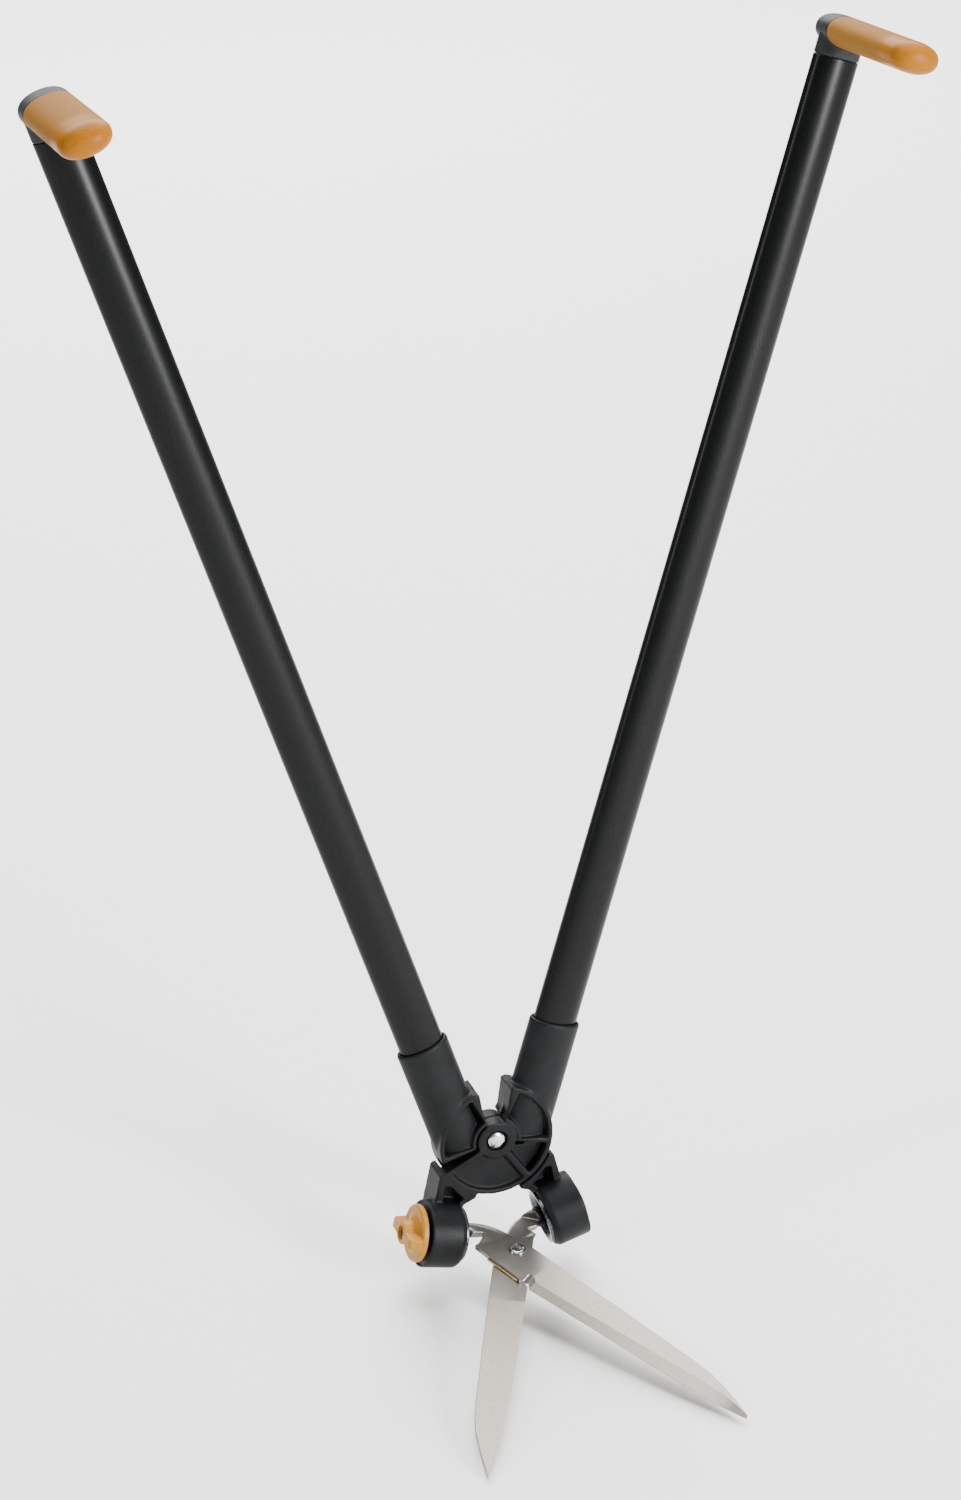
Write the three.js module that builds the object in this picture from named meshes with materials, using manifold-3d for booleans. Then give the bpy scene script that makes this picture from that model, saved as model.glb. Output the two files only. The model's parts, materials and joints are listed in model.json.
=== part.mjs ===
// Long-handled grass shears: two crossed levers on one pivot, a pair of swivelling blades between
// their lower arms, and a wing knob that locks the blades' angle.
// Millimetres, +Z up along the closed handles, Y along the main pivot, -Y towards the blade tips.
import * as THREE from "three";
import { mergeVertices } from "three/addons/utils/BufferGeometryUtils.js";
import Module from "manifold-3d";

const wasm = await Module();
wasm.setup();

const DEG = Math.PI / 180;
const GAP = 0.3; // between two pieces that touch

// Handles
const HALF_OPEN = 17.5 * DEG; // each lever's lean from upright
const TUBE = { width: 30, depth: 17, wall: 1.6, offset: 21.3, foot: 42, length: 682, round: 16 };
const SOCKET = { wall: 2.3, clearance: 0.3, foot: 9, rim: 86 };
const TUBE_PIN = { radius: 2.2, height: 66 };

// Grips: an elbow cap closes each tube, and its spigot carries the sleeve
const GRIP = { proud: 0.6, halfHeight: 9.4, length: 102, endRadius: 7, start: -1.5 };
const CAP = { neck: 16, back: 15, plug: 14, spigot: 88, spigotShare: 0.55 };

// Head: a disc on each lever, one in front of the other
const HEAD = { depth: 22, web: 2.5, radius: 39.3, rib: 3.3, split: 0.5 };
const HUB = { radius: 13, sectorGap: 1.2 };
const SECTOR_END = 87 * DEG; // full-depth sector that carries the tube socket, from the lever's axis
const DISC_END = 227.2 * DEG; // half-depth disc, to the top face of the arm
const SPOKE_ANGLE = 129 * DEG;
const LUG = { top: 37.8, foot: 10, innerTop: -0.4, innerFoot: 3.7, width: 5.5 };

// Lower arms and swivel pods
const ARM = { length: 71.5, angle: 13.2 * DEG, clearance: 1, outer: 32.4, pocket: 9 };
const POD = { wall: 7.1, mouth: 6, tilt: 3.5 * DEG, y: -11.4, clearance: 0.4, floor: 6 };
const RING = { lip: 0.8, flare: 2.2, width: 4.5, from: 4.2, to: 8 }; // retaining ring in a pod's mouth

// Nested swivel: ball, cup and ring share one centre in each pod, each clear of the one inside it
const SWIVEL_RING = { wall: 2.5, from: -8, to: -1 };
const SWIVEL_CUP = { wall: 2.7, from: -7.5, to: 1.5 };
const BALL = { radius: 9, slack: 1.6, collar: 7, collarFrom: 9, collarTo: 11.4, wall: 1.3 };

// Blades
const BLADE_TILT = 80.5 * DEG; // from hanging in line with the handles
const LINK_DROP = 33; // blade pivot from the line between the swivels
const BLADE = { thickness: 3.4, gap: 0.3 };
const SHANK = { radius: 6, neck: 4, lean: 10 * DEG, sink: 0.2, lap: 1.5, round: 11.2 };
const SWEEP = { clearance: 1.3, side: 2, reach: 30 };
const BLADE_BOLT = { head: 5.6, headHeight: 2.4, shaft: 3.6, clearance: 0.3, nut: 6.5, nutHeight: 4 };
const GLIDE = { thickness: 1.1, width: 7 };

// Main pivot
const PIVOT = { shaft: 4, clearance: 0.05, head: 6.2, headHeight: 3.2, recess: 7.4, recessDepth: 3 };
const NUT = { radius: 7, recess: 8.4, recessDepth: 4 };

// Wing knob and its clamp screw
const KNOB = { flange: 19, flangeHeight: 4, cone: 14, coneHeight: 5, hub: 6.2, height: 14.5 };
const WING = { reach: 18, width: 7.5, root: 9 };
const SCREW = { shaft: 3, head: 4.4, headHeight: 3.4, socket: 2.2, padRadius: 4.6, pad: 2.4, travel: 1.1 };
const KNOB_WASHER = { radius: 12, thickness: 1 };
const POD_CAP = { radius: 15, height: 3 };

// ---------------------------------------------------------------- solids

function solidOf(geometry) {
  const plain = geometry.clone();
  for (const name of ["normal", "uv", "color"]) plain.deleteAttribute(name);
  const merged = mergeVertices(plain, 1e-4);
  return new wasm.Manifold(
    new wasm.Mesh({
      numProp: 3,
      vertProperties: new Float32Array(merged.attributes.position.array),
      triVerts: new Uint32Array(merged.index.array),
    }),
  );
}

const join = (...geometries) => geometries.map(solidOf).reduce((a, b) => a.add(b));
const cut = (solid, ...geometries) => geometries.map(solidOf).reduce((a, b) => a.subtract(b), solid);

function geometryOf(solid) {
  const { vertProperties, triVerts } = solid.getMesh();
  const geometry = new THREE.BufferGeometry();
  geometry.setAttribute("position", new THREE.BufferAttribute(new Float32Array(vertProperties), 3));
  geometry.setIndex(new THREE.BufferAttribute(new Uint32Array(triVerts), 1));
  return geometry;
}

// Turns every face of an indexed geometry over.
function flipped(geometry) {
  const index = geometry.index.array;
  for (let i = 0; i < index.length; i += 3) [index[i + 1], index[i + 2]] = [index[i + 2], index[i + 1]];
  return geometry;
}

// A skin's faces all point one way: this makes it the way out.
function facingOut(geometry) {
  return solidOf(geometry).volume() < 0 ? flipped(geometry) : geometry;
}

// A mirror image in X, for the rear lever and the right-hand pod.
function mirrored(geometry) {
  const copy = geometry.index ? geometry.clone() : mergeVertices(geometry);
  return flipped(copy.scale(-1, 1, 1));
}

// ---------------------------------------------------------------- shapes

// An outline in the X-Z plane, extruded from one Y to another.
function slab(shape, yFront, yBack, curveSegments = 14) {
  const geometry = new THREE.ExtrudeGeometry(shape, {
    depth: yBack - yFront,
    bevelEnabled: false,
    curveSegments,
  });
  return geometry.rotateX(Math.PI / 2).translate(0, yBack, 0);
}

function polygon(points) {
  return new THREE.Shape(points.map(([x, y]) => new THREE.Vector2(x, y)));
}

// A sector of a ring about the pivot; angles run clockwise from +Z, seen from the front.
function ringSector(inner, outer, from, to) {
  const shape = new THREE.Shape();
  shape.absarc(0, 0, outer, Math.PI / 2 - from, Math.PI / 2 - to, true);
  if (inner > 0) shape.absarc(0, 0, inner, Math.PI / 2 - to, Math.PI / 2 - from, false);
  else shape.lineTo(0, 0);
  return shape;
}

// A straight rib from one radius to another. Its share of the width past the angle's line is
// half for a spoke, and none for the rib that ends a sector.
function spoke(inner, outer, angle, width, past = 0.5) {
  const along = [Math.sin(angle), Math.cos(angle)];
  const across = [along[1], -along[0]];
  const at = (r, w) => [along[0] * r + across[0] * w, along[1] * r + across[1] * w];
  const [low, high] = [-width * (1 - past), width * past];
  return polygon([at(inner, low), at(outer, low), at(outer, high), at(inner, high)]);
}

function rodY(radius, yFront, yBack, sides = 32) {
  return new THREE.CylinderGeometry(radius, radius, yBack - yFront, sides).translate(
    0,
    (yFront + yBack) / 2,
    0,
  );
}

// A solid of revolution about X; the profile is a list of [x, radius], closed on the axis or on itself.
function turnedX(profile, sides = 22) {
  const points = profile.map(([x, r]) => new THREE.Vector2(r, x));
  return facingOut(new THREE.LatheGeometry(points, sides).rotateZ(-Math.PI / 2));
}

// Points of an arc in a turned profile, between two X positions on a sphere centred on the origin.
function sphereArc(radius, from, to, steps = 4) {
  const start = Math.acos(from / radius);
  const end = Math.acos(to / radius);
  return Array.from({ length: steps + 1 }, (_, i) => {
    const a = start + ((end - start) * i) / steps;
    return [radius * Math.cos(a), radius * Math.sin(a)];
  });
}

// An oval ring or bar standing along Z.
function ovalBar(halfWidth, halfDepth, from, to, hole) {
  const shape = new THREE.Shape();
  shape.absellipse(0, 0, halfWidth, halfDepth, 0, 2 * Math.PI, false, 0);
  if (hole) {
    const inside = new THREE.Path();
    inside.absellipse(0, 0, hole[0], hole[1], 0, 2 * Math.PI, true, 0);
    shape.holes.push(inside);
  }
  return new THREE.ExtrudeGeometry(shape, {
    depth: to - from,
    bevelEnabled: false,
    curveSegments: TUBE.round,
  }).translate(0, 0, from);
}

// A closed skin over rings of equal length, with flat ends.
function loft(rings) {
  const count = rings[0].length;
  const positions = rings.flat(2);
  const index = [];
  for (let k = 0; k + 1 < rings.length; k++)
    for (let i = 0; i < count; i++) {
      const a = k * count + i;
      const b = k * count + ((i + 1) % count);
      index.push(a, b, a + count, b, b + count, a + count);
    }
  for (const [ring, reverse] of [
    [0, true],
    [rings.length - 1, false],
  ]) {
    const centre = positions.length / 3;
    for (let axis = 0; axis < 3; axis++)
      positions.push(rings[ring].reduce((sum, point) => sum + point[axis], 0) / count);
    for (let i = 0; i < count; i++) {
      const a = ring * count + i;
      const b = ring * count + ((i + 1) % count);
      if (reverse) index.push(b, a, centre);
      else index.push(a, b, centre);
    }
  }
  const geometry = new THREE.BufferGeometry();
  geometry.setAttribute("position", new THREE.Float32BufferAttribute(positions, 3));
  geometry.setIndex(index);
  return facingOut(geometry);
}

// ---------------------------------------------------------------- materials

const finish = (color, roughness, metalness = 0) =>
  new THREE.MeshStandardMaterial({ color, roughness, metalness });
const MATERIALS = {
  nylon: finish(0x1c1d1f, 0.6),
  tube: finish(0x111213, 0.35),
  cap: finish(0x3c3f42, 0.55),
  grip: finish(0xc08a3e, 0.55),
  knob: finish(0xd08a2c, 0.5),
  steel: finish(0xb9b6b0, 0.35, 1),
  blade: finish(0xc9c4ba, 0.38, 1),
  bronze: finish(0xb08d57, 0.4, 1),
};

const root = new THREE.Group();

function add(group, name, shape, material) {
  const geometry = shape.isBufferGeometry ? shape : geometryOf(shape);
  geometry.computeVertexNormals();
  const mesh = new THREE.Mesh(geometry, MATERIALS[material].clone());
  mesh.name = name;
  group.add(mesh);
  return mesh;
}

// ---------------------------------------------------------------- swivel sizes

const cupInner = BALL.radius + GAP;
const cupOuter = cupInner + SWIVEL_CUP.wall;
const ringInner = cupOuter + GAP;
const ringOuter = ringInner + SWIVEL_RING.wall;
const podBoreRadius = ringOuter + POD.clearance;
const podRadius = podBoreRadius + POD.wall;
const retainerInner = ringOuter - RING.lip;
const retainerOuter = retainerInner + RING.width;
const padFront = -(BALL.radius + 0.5);
const boreFloor = padFront - SCREW.pad - SCREW.travel;
const podBack = boreFloor - POD.floor;

// ---------------------------------------------------------------- lever

// Each lever is drawn right-handed in its own frame: pivot at the origin, tube along +Z at +X,
// pod arm towards -Z at -X. The rear lever is its mirror image, with its disc in the rear half.
const half = HEAD.depth / 2;
const inner = HUB.radius + HUB.sectorGap;
const clear = HEAD.radius + ARM.clearance;
const swivelLocal = [-Math.sin(ARM.angle) * ARM.length, -Math.cos(ARM.angle) * ARM.length];
const podTop = swivelLocal[1] + podRadius;
const podInner = swivelLocal[0] + POD.mouth;

// Moves a geometry drawn about a swivel's centre, with +X into the head, onto its lever.
function onPod(geometry) {
  return geometry.rotateY(-POD.tilt).translate(swivelLocal[0], POD.y, swivelLocal[1]);
}

function discSolid(front) {
  const [near, far] = front ? [-half, -HEAD.split / 2] : [HEAD.split / 2, half];
  const web = front ? [far - HEAD.web, far] : [near, near + HEAD.web];
  const ribInner = HUB.radius - 2;
  return join(
    slab(ringSector(HEAD.radius - HEAD.rib, HEAD.radius, 0, DISC_END), near, far),
    slab(ringSector(ribInner, HEAD.radius - 1, 0, DISC_END), web[0], web[1]),
    slab(spoke(ribInner, HEAD.radius - 1, SPOKE_ANGLE, HEAD.rib), near, far),
    slab(spoke(ribInner, HEAD.radius - 0.6, DISC_END, HEAD.rib, 0), near, far),
    rodY(HUB.radius, near, far, 28),
  );
}

function sectorSolid() {
  const lug = polygon([
    [LUG.innerTop, LUG.top],
    [LUG.innerTop + LUG.width, LUG.top],
    [LUG.innerFoot + LUG.width, LUG.foot],
    [LUG.innerFoot, LUG.foot],
  ]);
  const lowerRib = spoke(inner, HEAD.radius - 0.4, SECTOR_END, HEAD.rib, 0);
  const web = ringSector(inner, HEAD.radius - 1, 6 * DEG, SECTOR_END - 2 * DEG);
  return join(
    slab(lug, -half, half),
    slab(ringSector(HEAD.radius - HEAD.rib, HEAD.radius, 3 * DEG, SECTOR_END), -half, half),
    slab(lowerRib, -half, half),
    slab(web, -HEAD.web, HEAD.web),
    ovalBar(
      TUBE.width / 2 + SOCKET.clearance + SOCKET.wall,
      TUBE.depth / 2 + SOCKET.clearance + SOCKET.wall,
      SOCKET.foot,
      SOCKET.rim,
    ).translate(TUBE.offset, 0, 0),
  );
}

function armSolid(front) {
  const top = [Math.sin(DISC_END), Math.cos(DISC_END)];
  const outline = polygon([
    [top[0] * HEAD.radius * 0.6, top[1] * HEAD.radius * 0.6],
    [-ARM.outer, (top[1] / top[0]) * -ARM.outer],
    [-ARM.outer + 2, podTop - podRadius / 2],
    [podInner, podTop - podRadius / 2],
    [podInner, podTop - 2],
    [-2.8, -HEAD.radius],
    [0, -HEAD.radius * 0.6],
  ]);
  // Inside the disc's radius the arm keeps to its own lever's half.
  const otherDisc = front
    ? rodY(clear, -HEAD.split / 2, half + 1, 40)
    : rodY(clear, -half - 1, HEAD.split / 2, 40);
  return cut(solidOf(slab(outline, -half, half)), otherDisc);
}

function podSolid() {
  const shell = [
    [podBack, 0],
    [podBack, podRadius - 1.5],
    [podBack + 1.5, podRadius],
    [POD.mouth - 3, podRadius],
    [POD.mouth, podRadius - 2],
    [POD.mouth, 0],
  ];
  return solidOf(onPod(turnedX(shell, 32)));
}

// The swivel's chamber, the seat of the retaining ring and the screw hole behind them.
function podBore() {
  const seat = retainerOuter + GAP;
  const profile = [
    [podBack - 1, 0],
    [podBack - 1, SCREW.shaft + GAP],
    [boreFloor, SCREW.shaft + GAP],
    [boreFloor, podBoreRadius],
    [RING.from - GAP, podBoreRadius],
    [RING.from - GAP, seat],
    [RING.to + 2, seat],
    [RING.to + 2, 0],
  ];
  return onPod(turnedX(profile));
}

// The triangular recess in the arm's front, above the pod.
function armPocket() {
  const angle = DISC_END - 14 * DEG;
  const corner = [Math.sin(angle) * (clear + 2.5), Math.cos(angle) * (clear + 2.5)];
  const outline = polygon([
    corner,
    [-ARM.outer + 5.5, corner[1] - 1],
    [-ARM.outer + 6.5, podTop - 1],
    [podInner - 4, podTop - 1],
    [podInner - 2.5, podTop + 3],
  ]);
  return slab(outline, -half - 1, -half + ARM.pocket);
}

function leverSolid(front) {
  const otherHub = front
    ? rodY(inner, -HEAD.split / 2, half + 1, 28)
    : rodY(inner, -half - 1, HEAD.split / 2, 28);
  const tubeSeat = ovalBar(
    TUBE.width / 2 + SOCKET.clearance,
    TUBE.depth / 2 + SOCKET.clearance,
    TUBE.foot - GAP,
    SOCKET.rim + 1,
  ).translate(TUBE.offset, 0, 0);
  const pinHole = rodY(TUBE_PIN.radius + GAP, -half - 2, half + 2, 16);
  const head = cut(sectorSolid(), otherHub).add(discSolid(front)).add(armSolid(front)).add(podSolid());
  const recess = front
    ? rodY(PIVOT.recess, -half - 1, -half + PIVOT.recessDepth, 24)
    : rodY(NUT.recess, half - NUT.recessDepth, half + 1, 24);
  return cut(
    head,
    podBore(),
    tubeSeat,
    pinHole.translate(TUBE.offset, 0, TUBE_PIN.height),
    armPocket(),
    rodY(PIVOT.shaft + PIVOT.clearance + GAP, -half - 1, half + 1, 24),
    recess,
  );
}

// ---------------------------------------------------------------- handle

const tubeTop = TUBE.foot + TUBE.length;
const gripAxis = tubeTop + CAP.neck;
const gripHalfWidth = TUBE.width / 2 + GRIP.proud;

function tubeSolid() {
  const bar = ovalBar(TUBE.width / 2, TUBE.depth / 2, TUBE.foot, tubeTop, [
    TUBE.width / 2 - TUBE.wall,
    TUBE.depth / 2 - TUBE.wall,
  ]).translate(TUBE.offset, 0, 0);
  const hole = rodY(TUBE_PIN.radius + GAP, -half, half, 16);
  return cut(solidOf(bar), hole.translate(TUBE.offset, 0, TUBE_PIN.height));
}

// An oval section across Y, scaled, at one Y position of the grip.
function gripSection(y, share, trim = 0) {
  const count = 28;
  return Array.from({ length: count }, (_, i) => {
    const a = (2 * Math.PI * i) / count;
    return [
      TUBE.offset + (gripHalfWidth * share - trim) * Math.cos(a),
      y,
      gripAxis + (GRIP.halfHeight * share - trim) * Math.sin(a),
    ];
  });
}

// The rounded end of a grip part: sections that shrink along a quarter circle, towards -Y or +Y.
function roundedEnd(y, direction, radius, steps = 4) {
  return Array.from({ length: steps + 1 }, (_, i) => {
    const a = ((Math.PI / 2) * i) / steps;
    return gripSection(y - direction * radius * (1 - Math.sin(a)), 1, radius * (1 - Math.cos(a)));
  });
}

function capSolid() {
  const barrel = loft([gripSection(GRIP.start + GAP, 1), ...roundedEnd(CAP.back, 1, GRIP.endRadius)]);
  const neck = ovalBar(TUBE.width / 2, TUBE.depth / 2, tubeTop + GAP, gripAxis).translate(TUBE.offset, 0, 0);
  const plug = ovalBar(
    TUBE.width / 2 - TUBE.wall - GAP,
    TUBE.depth / 2 - TUBE.wall - GAP,
    tubeTop - CAP.plug,
    tubeTop + 1,
  ).translate(TUBE.offset, 0, 0);
  const spigot = loft([
    gripSection(GRIP.start - CAP.spigot, CAP.spigotShare),
    gripSection(GRIP.start + 2, CAP.spigotShare),
  ]);
  return join(barrel, neck, plug, spigot);
}

function sleeveSolid() {
  const end = GRIP.start - GRIP.length;
  const skin = loft([gripSection(GRIP.start, 1), ...roundedEnd(end, -1, GRIP.endRadius)]);
  const bore = loft([
    gripSection(GRIP.start - CAP.spigot - GAP, CAP.spigotShare, -GAP),
    gripSection(GRIP.start + 1, CAP.spigotShare, -GAP),
  ]);
  const seat = ovalBar(TUBE.width / 2 + GAP, TUBE.depth / 2 + GAP, tubeTop - 1, gripAxis + GAP);
  return cut(solidOf(skin), bore, seat.translate(TUBE.offset, 0, 0));
}

// ---------------------------------------------------------------- pod fittings

const retainingRing = () =>
  turnedX([
    [RING.from, retainerInner],
    [RING.from, retainerOuter],
    [RING.to - 0.6, retainerOuter],
    [RING.to, retainerOuter - 0.6],
    [RING.to, retainerInner + RING.flare],
    [RING.from + 1, retainerInner],
    [RING.from, retainerInner],
  ]);

const sphereZone = (outer, hollow, { from, to }) =>
  turnedX([
    ...sphereArc(outer, from, to),
    ...sphereArc(hollow, to, from),
    sphereArc(outer, from, to)[0],
  ]);

const headTop = podBack - KNOB.height + 0.6;
const headFoot = headTop + SCREW.headHeight;

const clampScrew = () =>
  turnedX([
    [padFront, 0],
    [padFront, SCREW.padRadius],
    [padFront - SCREW.pad, SCREW.padRadius],
    [padFront - SCREW.pad, SCREW.shaft],
    [headFoot, SCREW.shaft],
    [headFoot, SCREW.head],
    [headTop, SCREW.head],
    [headTop, SCREW.socket],
    [headFoot - 0.8, SCREW.socket],
    [headFoot - 0.8, 0],
  ], 24);

const podCap = () =>
  turnedX([
    [podBack - POD_CAP.height, 0],
    [podBack - POD_CAP.height, POD_CAP.radius - 4],
    [podBack - POD_CAP.height + 1, POD_CAP.radius - 1],
    [podBack - GAP, POD_CAP.radius],
    [podBack - GAP, SCREW.shaft],
    [boreFloor + 1, SCREW.shaft],
    [boreFloor + 1, 0],
  ]);

// ---------------------------------------------------------------- knob

const knobBase = podBack - KNOB_WASHER.thickness - 2 * GAP;

function knobSolid() {
  const flangeTop = knobBase - KNOB.flangeHeight;
  const top = podBack - KNOB.height;
  const body = turnedX([
    [knobBase, 0],
    [knobBase, KNOB.flange],
    [flangeTop + 1, KNOB.flange],
    [flangeTop, KNOB.flange - 1],
    [flangeTop, KNOB.cone],
    [flangeTop - KNOB.coneHeight + 2, KNOB.hub + 2.5],
    [top + 1, KNOB.hub],
    [top, KNOB.hub - 1],
    [top, 0],
  ], 32);
  const wings = [-1, 1].map((side) => {
    const outline = polygon([
      [flangeTop + 1, 0],
      [flangeTop + 1, side * WING.reach * 0.92],
      [top + WING.root * 0.35, side * WING.reach],
      [top, side * WING.reach * 0.85],
      [top + 1, 0],
    ]);
    const geometry = new THREE.ExtrudeGeometry(outline, { depth: WING.width, bevelEnabled: false });
    return solidOf(geometry.translate(0, 0, -WING.width / 2));
  });
  const screwHole = turnedX([
    [knobBase + 1, 0],
    [knobBase + 1, SCREW.shaft + GAP],
    [headFoot + GAP, SCREW.shaft + GAP],
    [headFoot + GAP, SCREW.head + GAP],
    [top - 1, SCREW.head + GAP],
    [top - 1, 0],
  ], 24);
  return cut(wings.reduce((a, b) => a.add(b), solidOf(body)), screwHole);
}

const knobWasher = () =>
  turnedX([
    [podBack - GAP, SCREW.shaft + GAP],
    [podBack - GAP, KNOB_WASHER.radius],
    [podBack - GAP - KNOB_WASHER.thickness, KNOB_WASHER.radius],
    [podBack - GAP - KNOB_WASHER.thickness, SCREW.shaft + GAP],
    [podBack - GAP, SCREW.shaft + GAP],
  ]);

// ---------------------------------------------------------------- blades

// Blades are drawn flat: pivot at the origin, tips towards -Y, thickness along Z. Their outlines
// run along a line from the pivot to the tip, with the cutting side positive across it.
const restAngle = ARM.angle + HALF_OPEN;
const swivelX = Math.sin(restAngle) * ARM.length;
const swivelZ = -Math.cos(restAngle) * ARM.length;

const FRONT_BLADE = {
  side: 1,
  lean: 23.3 * DEG,
  base: { spine: [-9, -9.3], edge: [-22, 19.4] },
  spine: [[30, -9.8], [150, -11.4], [165, -10.7], [180, -8], [193, -4.6]],
  tip: [206, 0],
  edge: [[190, 3.6], [174, 6.5], [57, 16.3], [31, 18.7], [27, 15], [23, 15], [22, 18.8]],
};
const REAR_BLADE = {
  side: -1,
  lean: 25.1 * DEG,
  base: { spine: [-9, -12.5], edge: [-20, 9.6] },
  spine: [[15, -14.7], [140, -13.6], [154, -13], [169, -10.8], [186, -6.2]],
  tip: [203.5, 0],
  edge: [[199, 1.4], [164, 5.4], [118, 8.3], [32, 9.6], [28, 7.5], [24, 9.8]],
};

// Blade-frame position of a point given along and across a blade.
function bladePoint({ side, lean }, [along, across]) {
  const x = along * Math.sin(lean) - across * Math.cos(lean);
  return [side * x, -along * Math.cos(lean) - across * Math.sin(lean)];
}

function bladePlate(blade, from, to) {
  const outline = [blade.base.spine, ...blade.spine, blade.tip, ...blade.edge, blade.base.edge];
  const shape = polygon(outline.map((point) => bladePoint(blade, point)));
  return new THREE.ExtrudeGeometry(shape, { depth: to - from, bevelEnabled: false }).translate(0, 0, from);
}

// The tang: a round neck out of the swivel ball that swells to the shank, bends towards the pivot
// and flattens into the plate. Its sections are ovals across the blade.
function tang(blade, from, to) {
  const { side } = blade;
  const swivel = new THREE.Vector2(-side * swivelX, LINK_DROP);
  const run = new THREE.Vector2(side * Math.cos(SHANK.lean), -Math.sin(SHANK.lean));
  const on = (distance) => run.clone().multiplyScalar(distance).add(swivel);
  const spine = new THREE.Vector2(...bladePoint(blade, blade.base.spine));
  const edge = new THREE.Vector2(...bladePoint(blade, blade.base.edge));
  const startAcross = new THREE.Vector2(-side * Math.sin(SHANK.lean), -Math.cos(SHANK.lean));
  const endAcross = edge.clone().sub(spine).normalize();
  const swell = BALL.collarTo + GAP;
  const inward = new THREE.Vector2(side * Math.sin(blade.lean), -Math.cos(blade.lean));
  const seat = spine.clone().add(edge).multiplyScalar(0.5).addScaledVector(inward, SHANK.lap);
  const bend = new THREE.QuadraticBezierCurve(on(swell + 1), on(swell + 6), seat);
  const ring = (centre, across, halfAcross, halfThick, middle) =>
    Array.from({ length: 20 }, (_, i) => {
      const a = (2 * Math.PI * i) / 20;
      const shift = halfAcross * Math.cos(a);
      return [centre.x + across.x * shift, centre.y + across.y * shift, middle + halfThick * Math.sin(a)];
    });
  const rings = [
    ring(on(-4), startAcross, SHANK.neck, SHANK.neck, 0),
    ring(on(swell), startAcross, SHANK.neck, SHANK.neck, 0),
    ring(on(swell + 0.5), startAcross, SHANK.radius, SHANK.radius, 0),
  ];
  const steps = 6;
  for (let i = 0; i <= steps; i++) {
    const t = i / steps;
    const ease = t * t * (3 - 2 * t);
    const across = startAcross.clone().lerp(endAcross, ease).normalize();
    const halfAcross = THREE.MathUtils.lerp(SHANK.radius, spine.distanceTo(edge) / 2 - SHANK.sink, ease);
    const halfThick = THREE.MathUtils.lerp(SHANK.radius, (to - from) / 2 - SHANK.sink, ease);
    rings.push(ring(bend.getPoint(t), across, halfAcross, halfThick, ((from + to) / 2) * ease));
  }
  return loft(rings);
}

// An upright cylinder through the blade plane.
const drum = (radius, from, to, sides = 32) =>
  new THREE.CylinderGeometry(radius, radius, to - from, sides).rotateX(Math.PI / 2).translate(0, 0, (from + to) / 2);

// What the pod sweeps as the blades close: a drum about the swivel, less the shank's own corridor.
function podSweep({ side }) {
  const corridor = new THREE.BoxGeometry(SWEEP.reach, 2 * SHANK.radius + SWEEP.side, 2 * SWEEP.reach);
  const radius = podRadius + SWEEP.clearance;
  const swept = solidOf(drum(radius, -SWEEP.reach, SWEEP.reach, 48));
  const ring = cut(swept, corridor.translate(SWEEP.reach / 2, 0, 0).rotateZ(-SHANK.lean));
  const shape = geometryOf(ring);
  return (side > 0 ? shape : mirrored(shape)).translate(-side * swivelX, LINK_DROP, 0);
}

// Each blade keeps to its own side of the cutting plane wherever the other one passes.
function bladeSolid(blade, from, to) {
  const radius = BLADE_BOLT.shaft + BLADE_BOLT.clearance;
  const solid = solidOf(tang(blade, from, to)).add(solidOf(bladePlate(blade, from, to)));
  const passed = Math.hypot(swivelX, LINK_DROP) - SHANK.round;
  const other = from > 0 ? drum(passed, -SWEEP.reach, from, 48) : drum(passed, to, SWEEP.reach, 48);
  return cut(solid, drum(radius, -SWEEP.reach, SWEEP.reach), other, podSweep(blade));
}

// The bronze strip let into the front blade's underside, behind the start of its edge.
const strip = (blade, grow) => {
  const [end, rear] = [20 + grow, -8 - grow];
  const [low, high] = [19.2 - GLIDE.width - grow, 19.6];
  const corners = [[rear, low], [end, low], [end, high], [rear, high]];
  return polygon(corners.map((point) => bladePoint(blade, point)));
};

// A turned piece on the blade pivot; the profile is a list of [height, radius].
const turnedZ = (profile, sides = 32) => turnedX(profile, sides).rotateY(-Math.PI / 2);

const plateFrom = BLADE.gap / 2;
const plateTo = plateFrom + BLADE.thickness;

function frontBladeSolid() {
  const seat = new THREE.ExtrudeGeometry(strip(FRONT_BLADE, GAP), {
    depth: GLIDE.thickness + GAP + 1,
    bevelEnabled: false,
  });
  return cut(bladeSolid(FRONT_BLADE, plateFrom, plateTo), seat.translate(0, 0, plateFrom - 1));
}

const glideStrip = () =>
  new THREE.ExtrudeGeometry(strip(FRONT_BLADE, 0), { depth: GLIDE.thickness, bevelEnabled: false }).translate(
    0,
    0,
    plateFrom,
  );

const bladeBolt = () => {
  const seat = plateTo + GAP;
  return turnedZ([
    [seat, BLADE_BOLT.shaft],
    [seat, BLADE_BOLT.head],
    [seat + BLADE_BOLT.headHeight * 0.45, BLADE_BOLT.head],
    [seat + BLADE_BOLT.headHeight * 0.85, BLADE_BOLT.head - 1],
    [seat + BLADE_BOLT.headHeight, BLADE_BOLT.head - 2.2],
    [seat + BLADE_BOLT.headHeight, 0],
    [-plateTo - BLADE_BOLT.nutHeight + 1, 0],
    [-plateTo - BLADE_BOLT.nutHeight + 1, BLADE_BOLT.shaft],
    [seat, BLADE_BOLT.shaft],
  ]);
};

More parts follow.
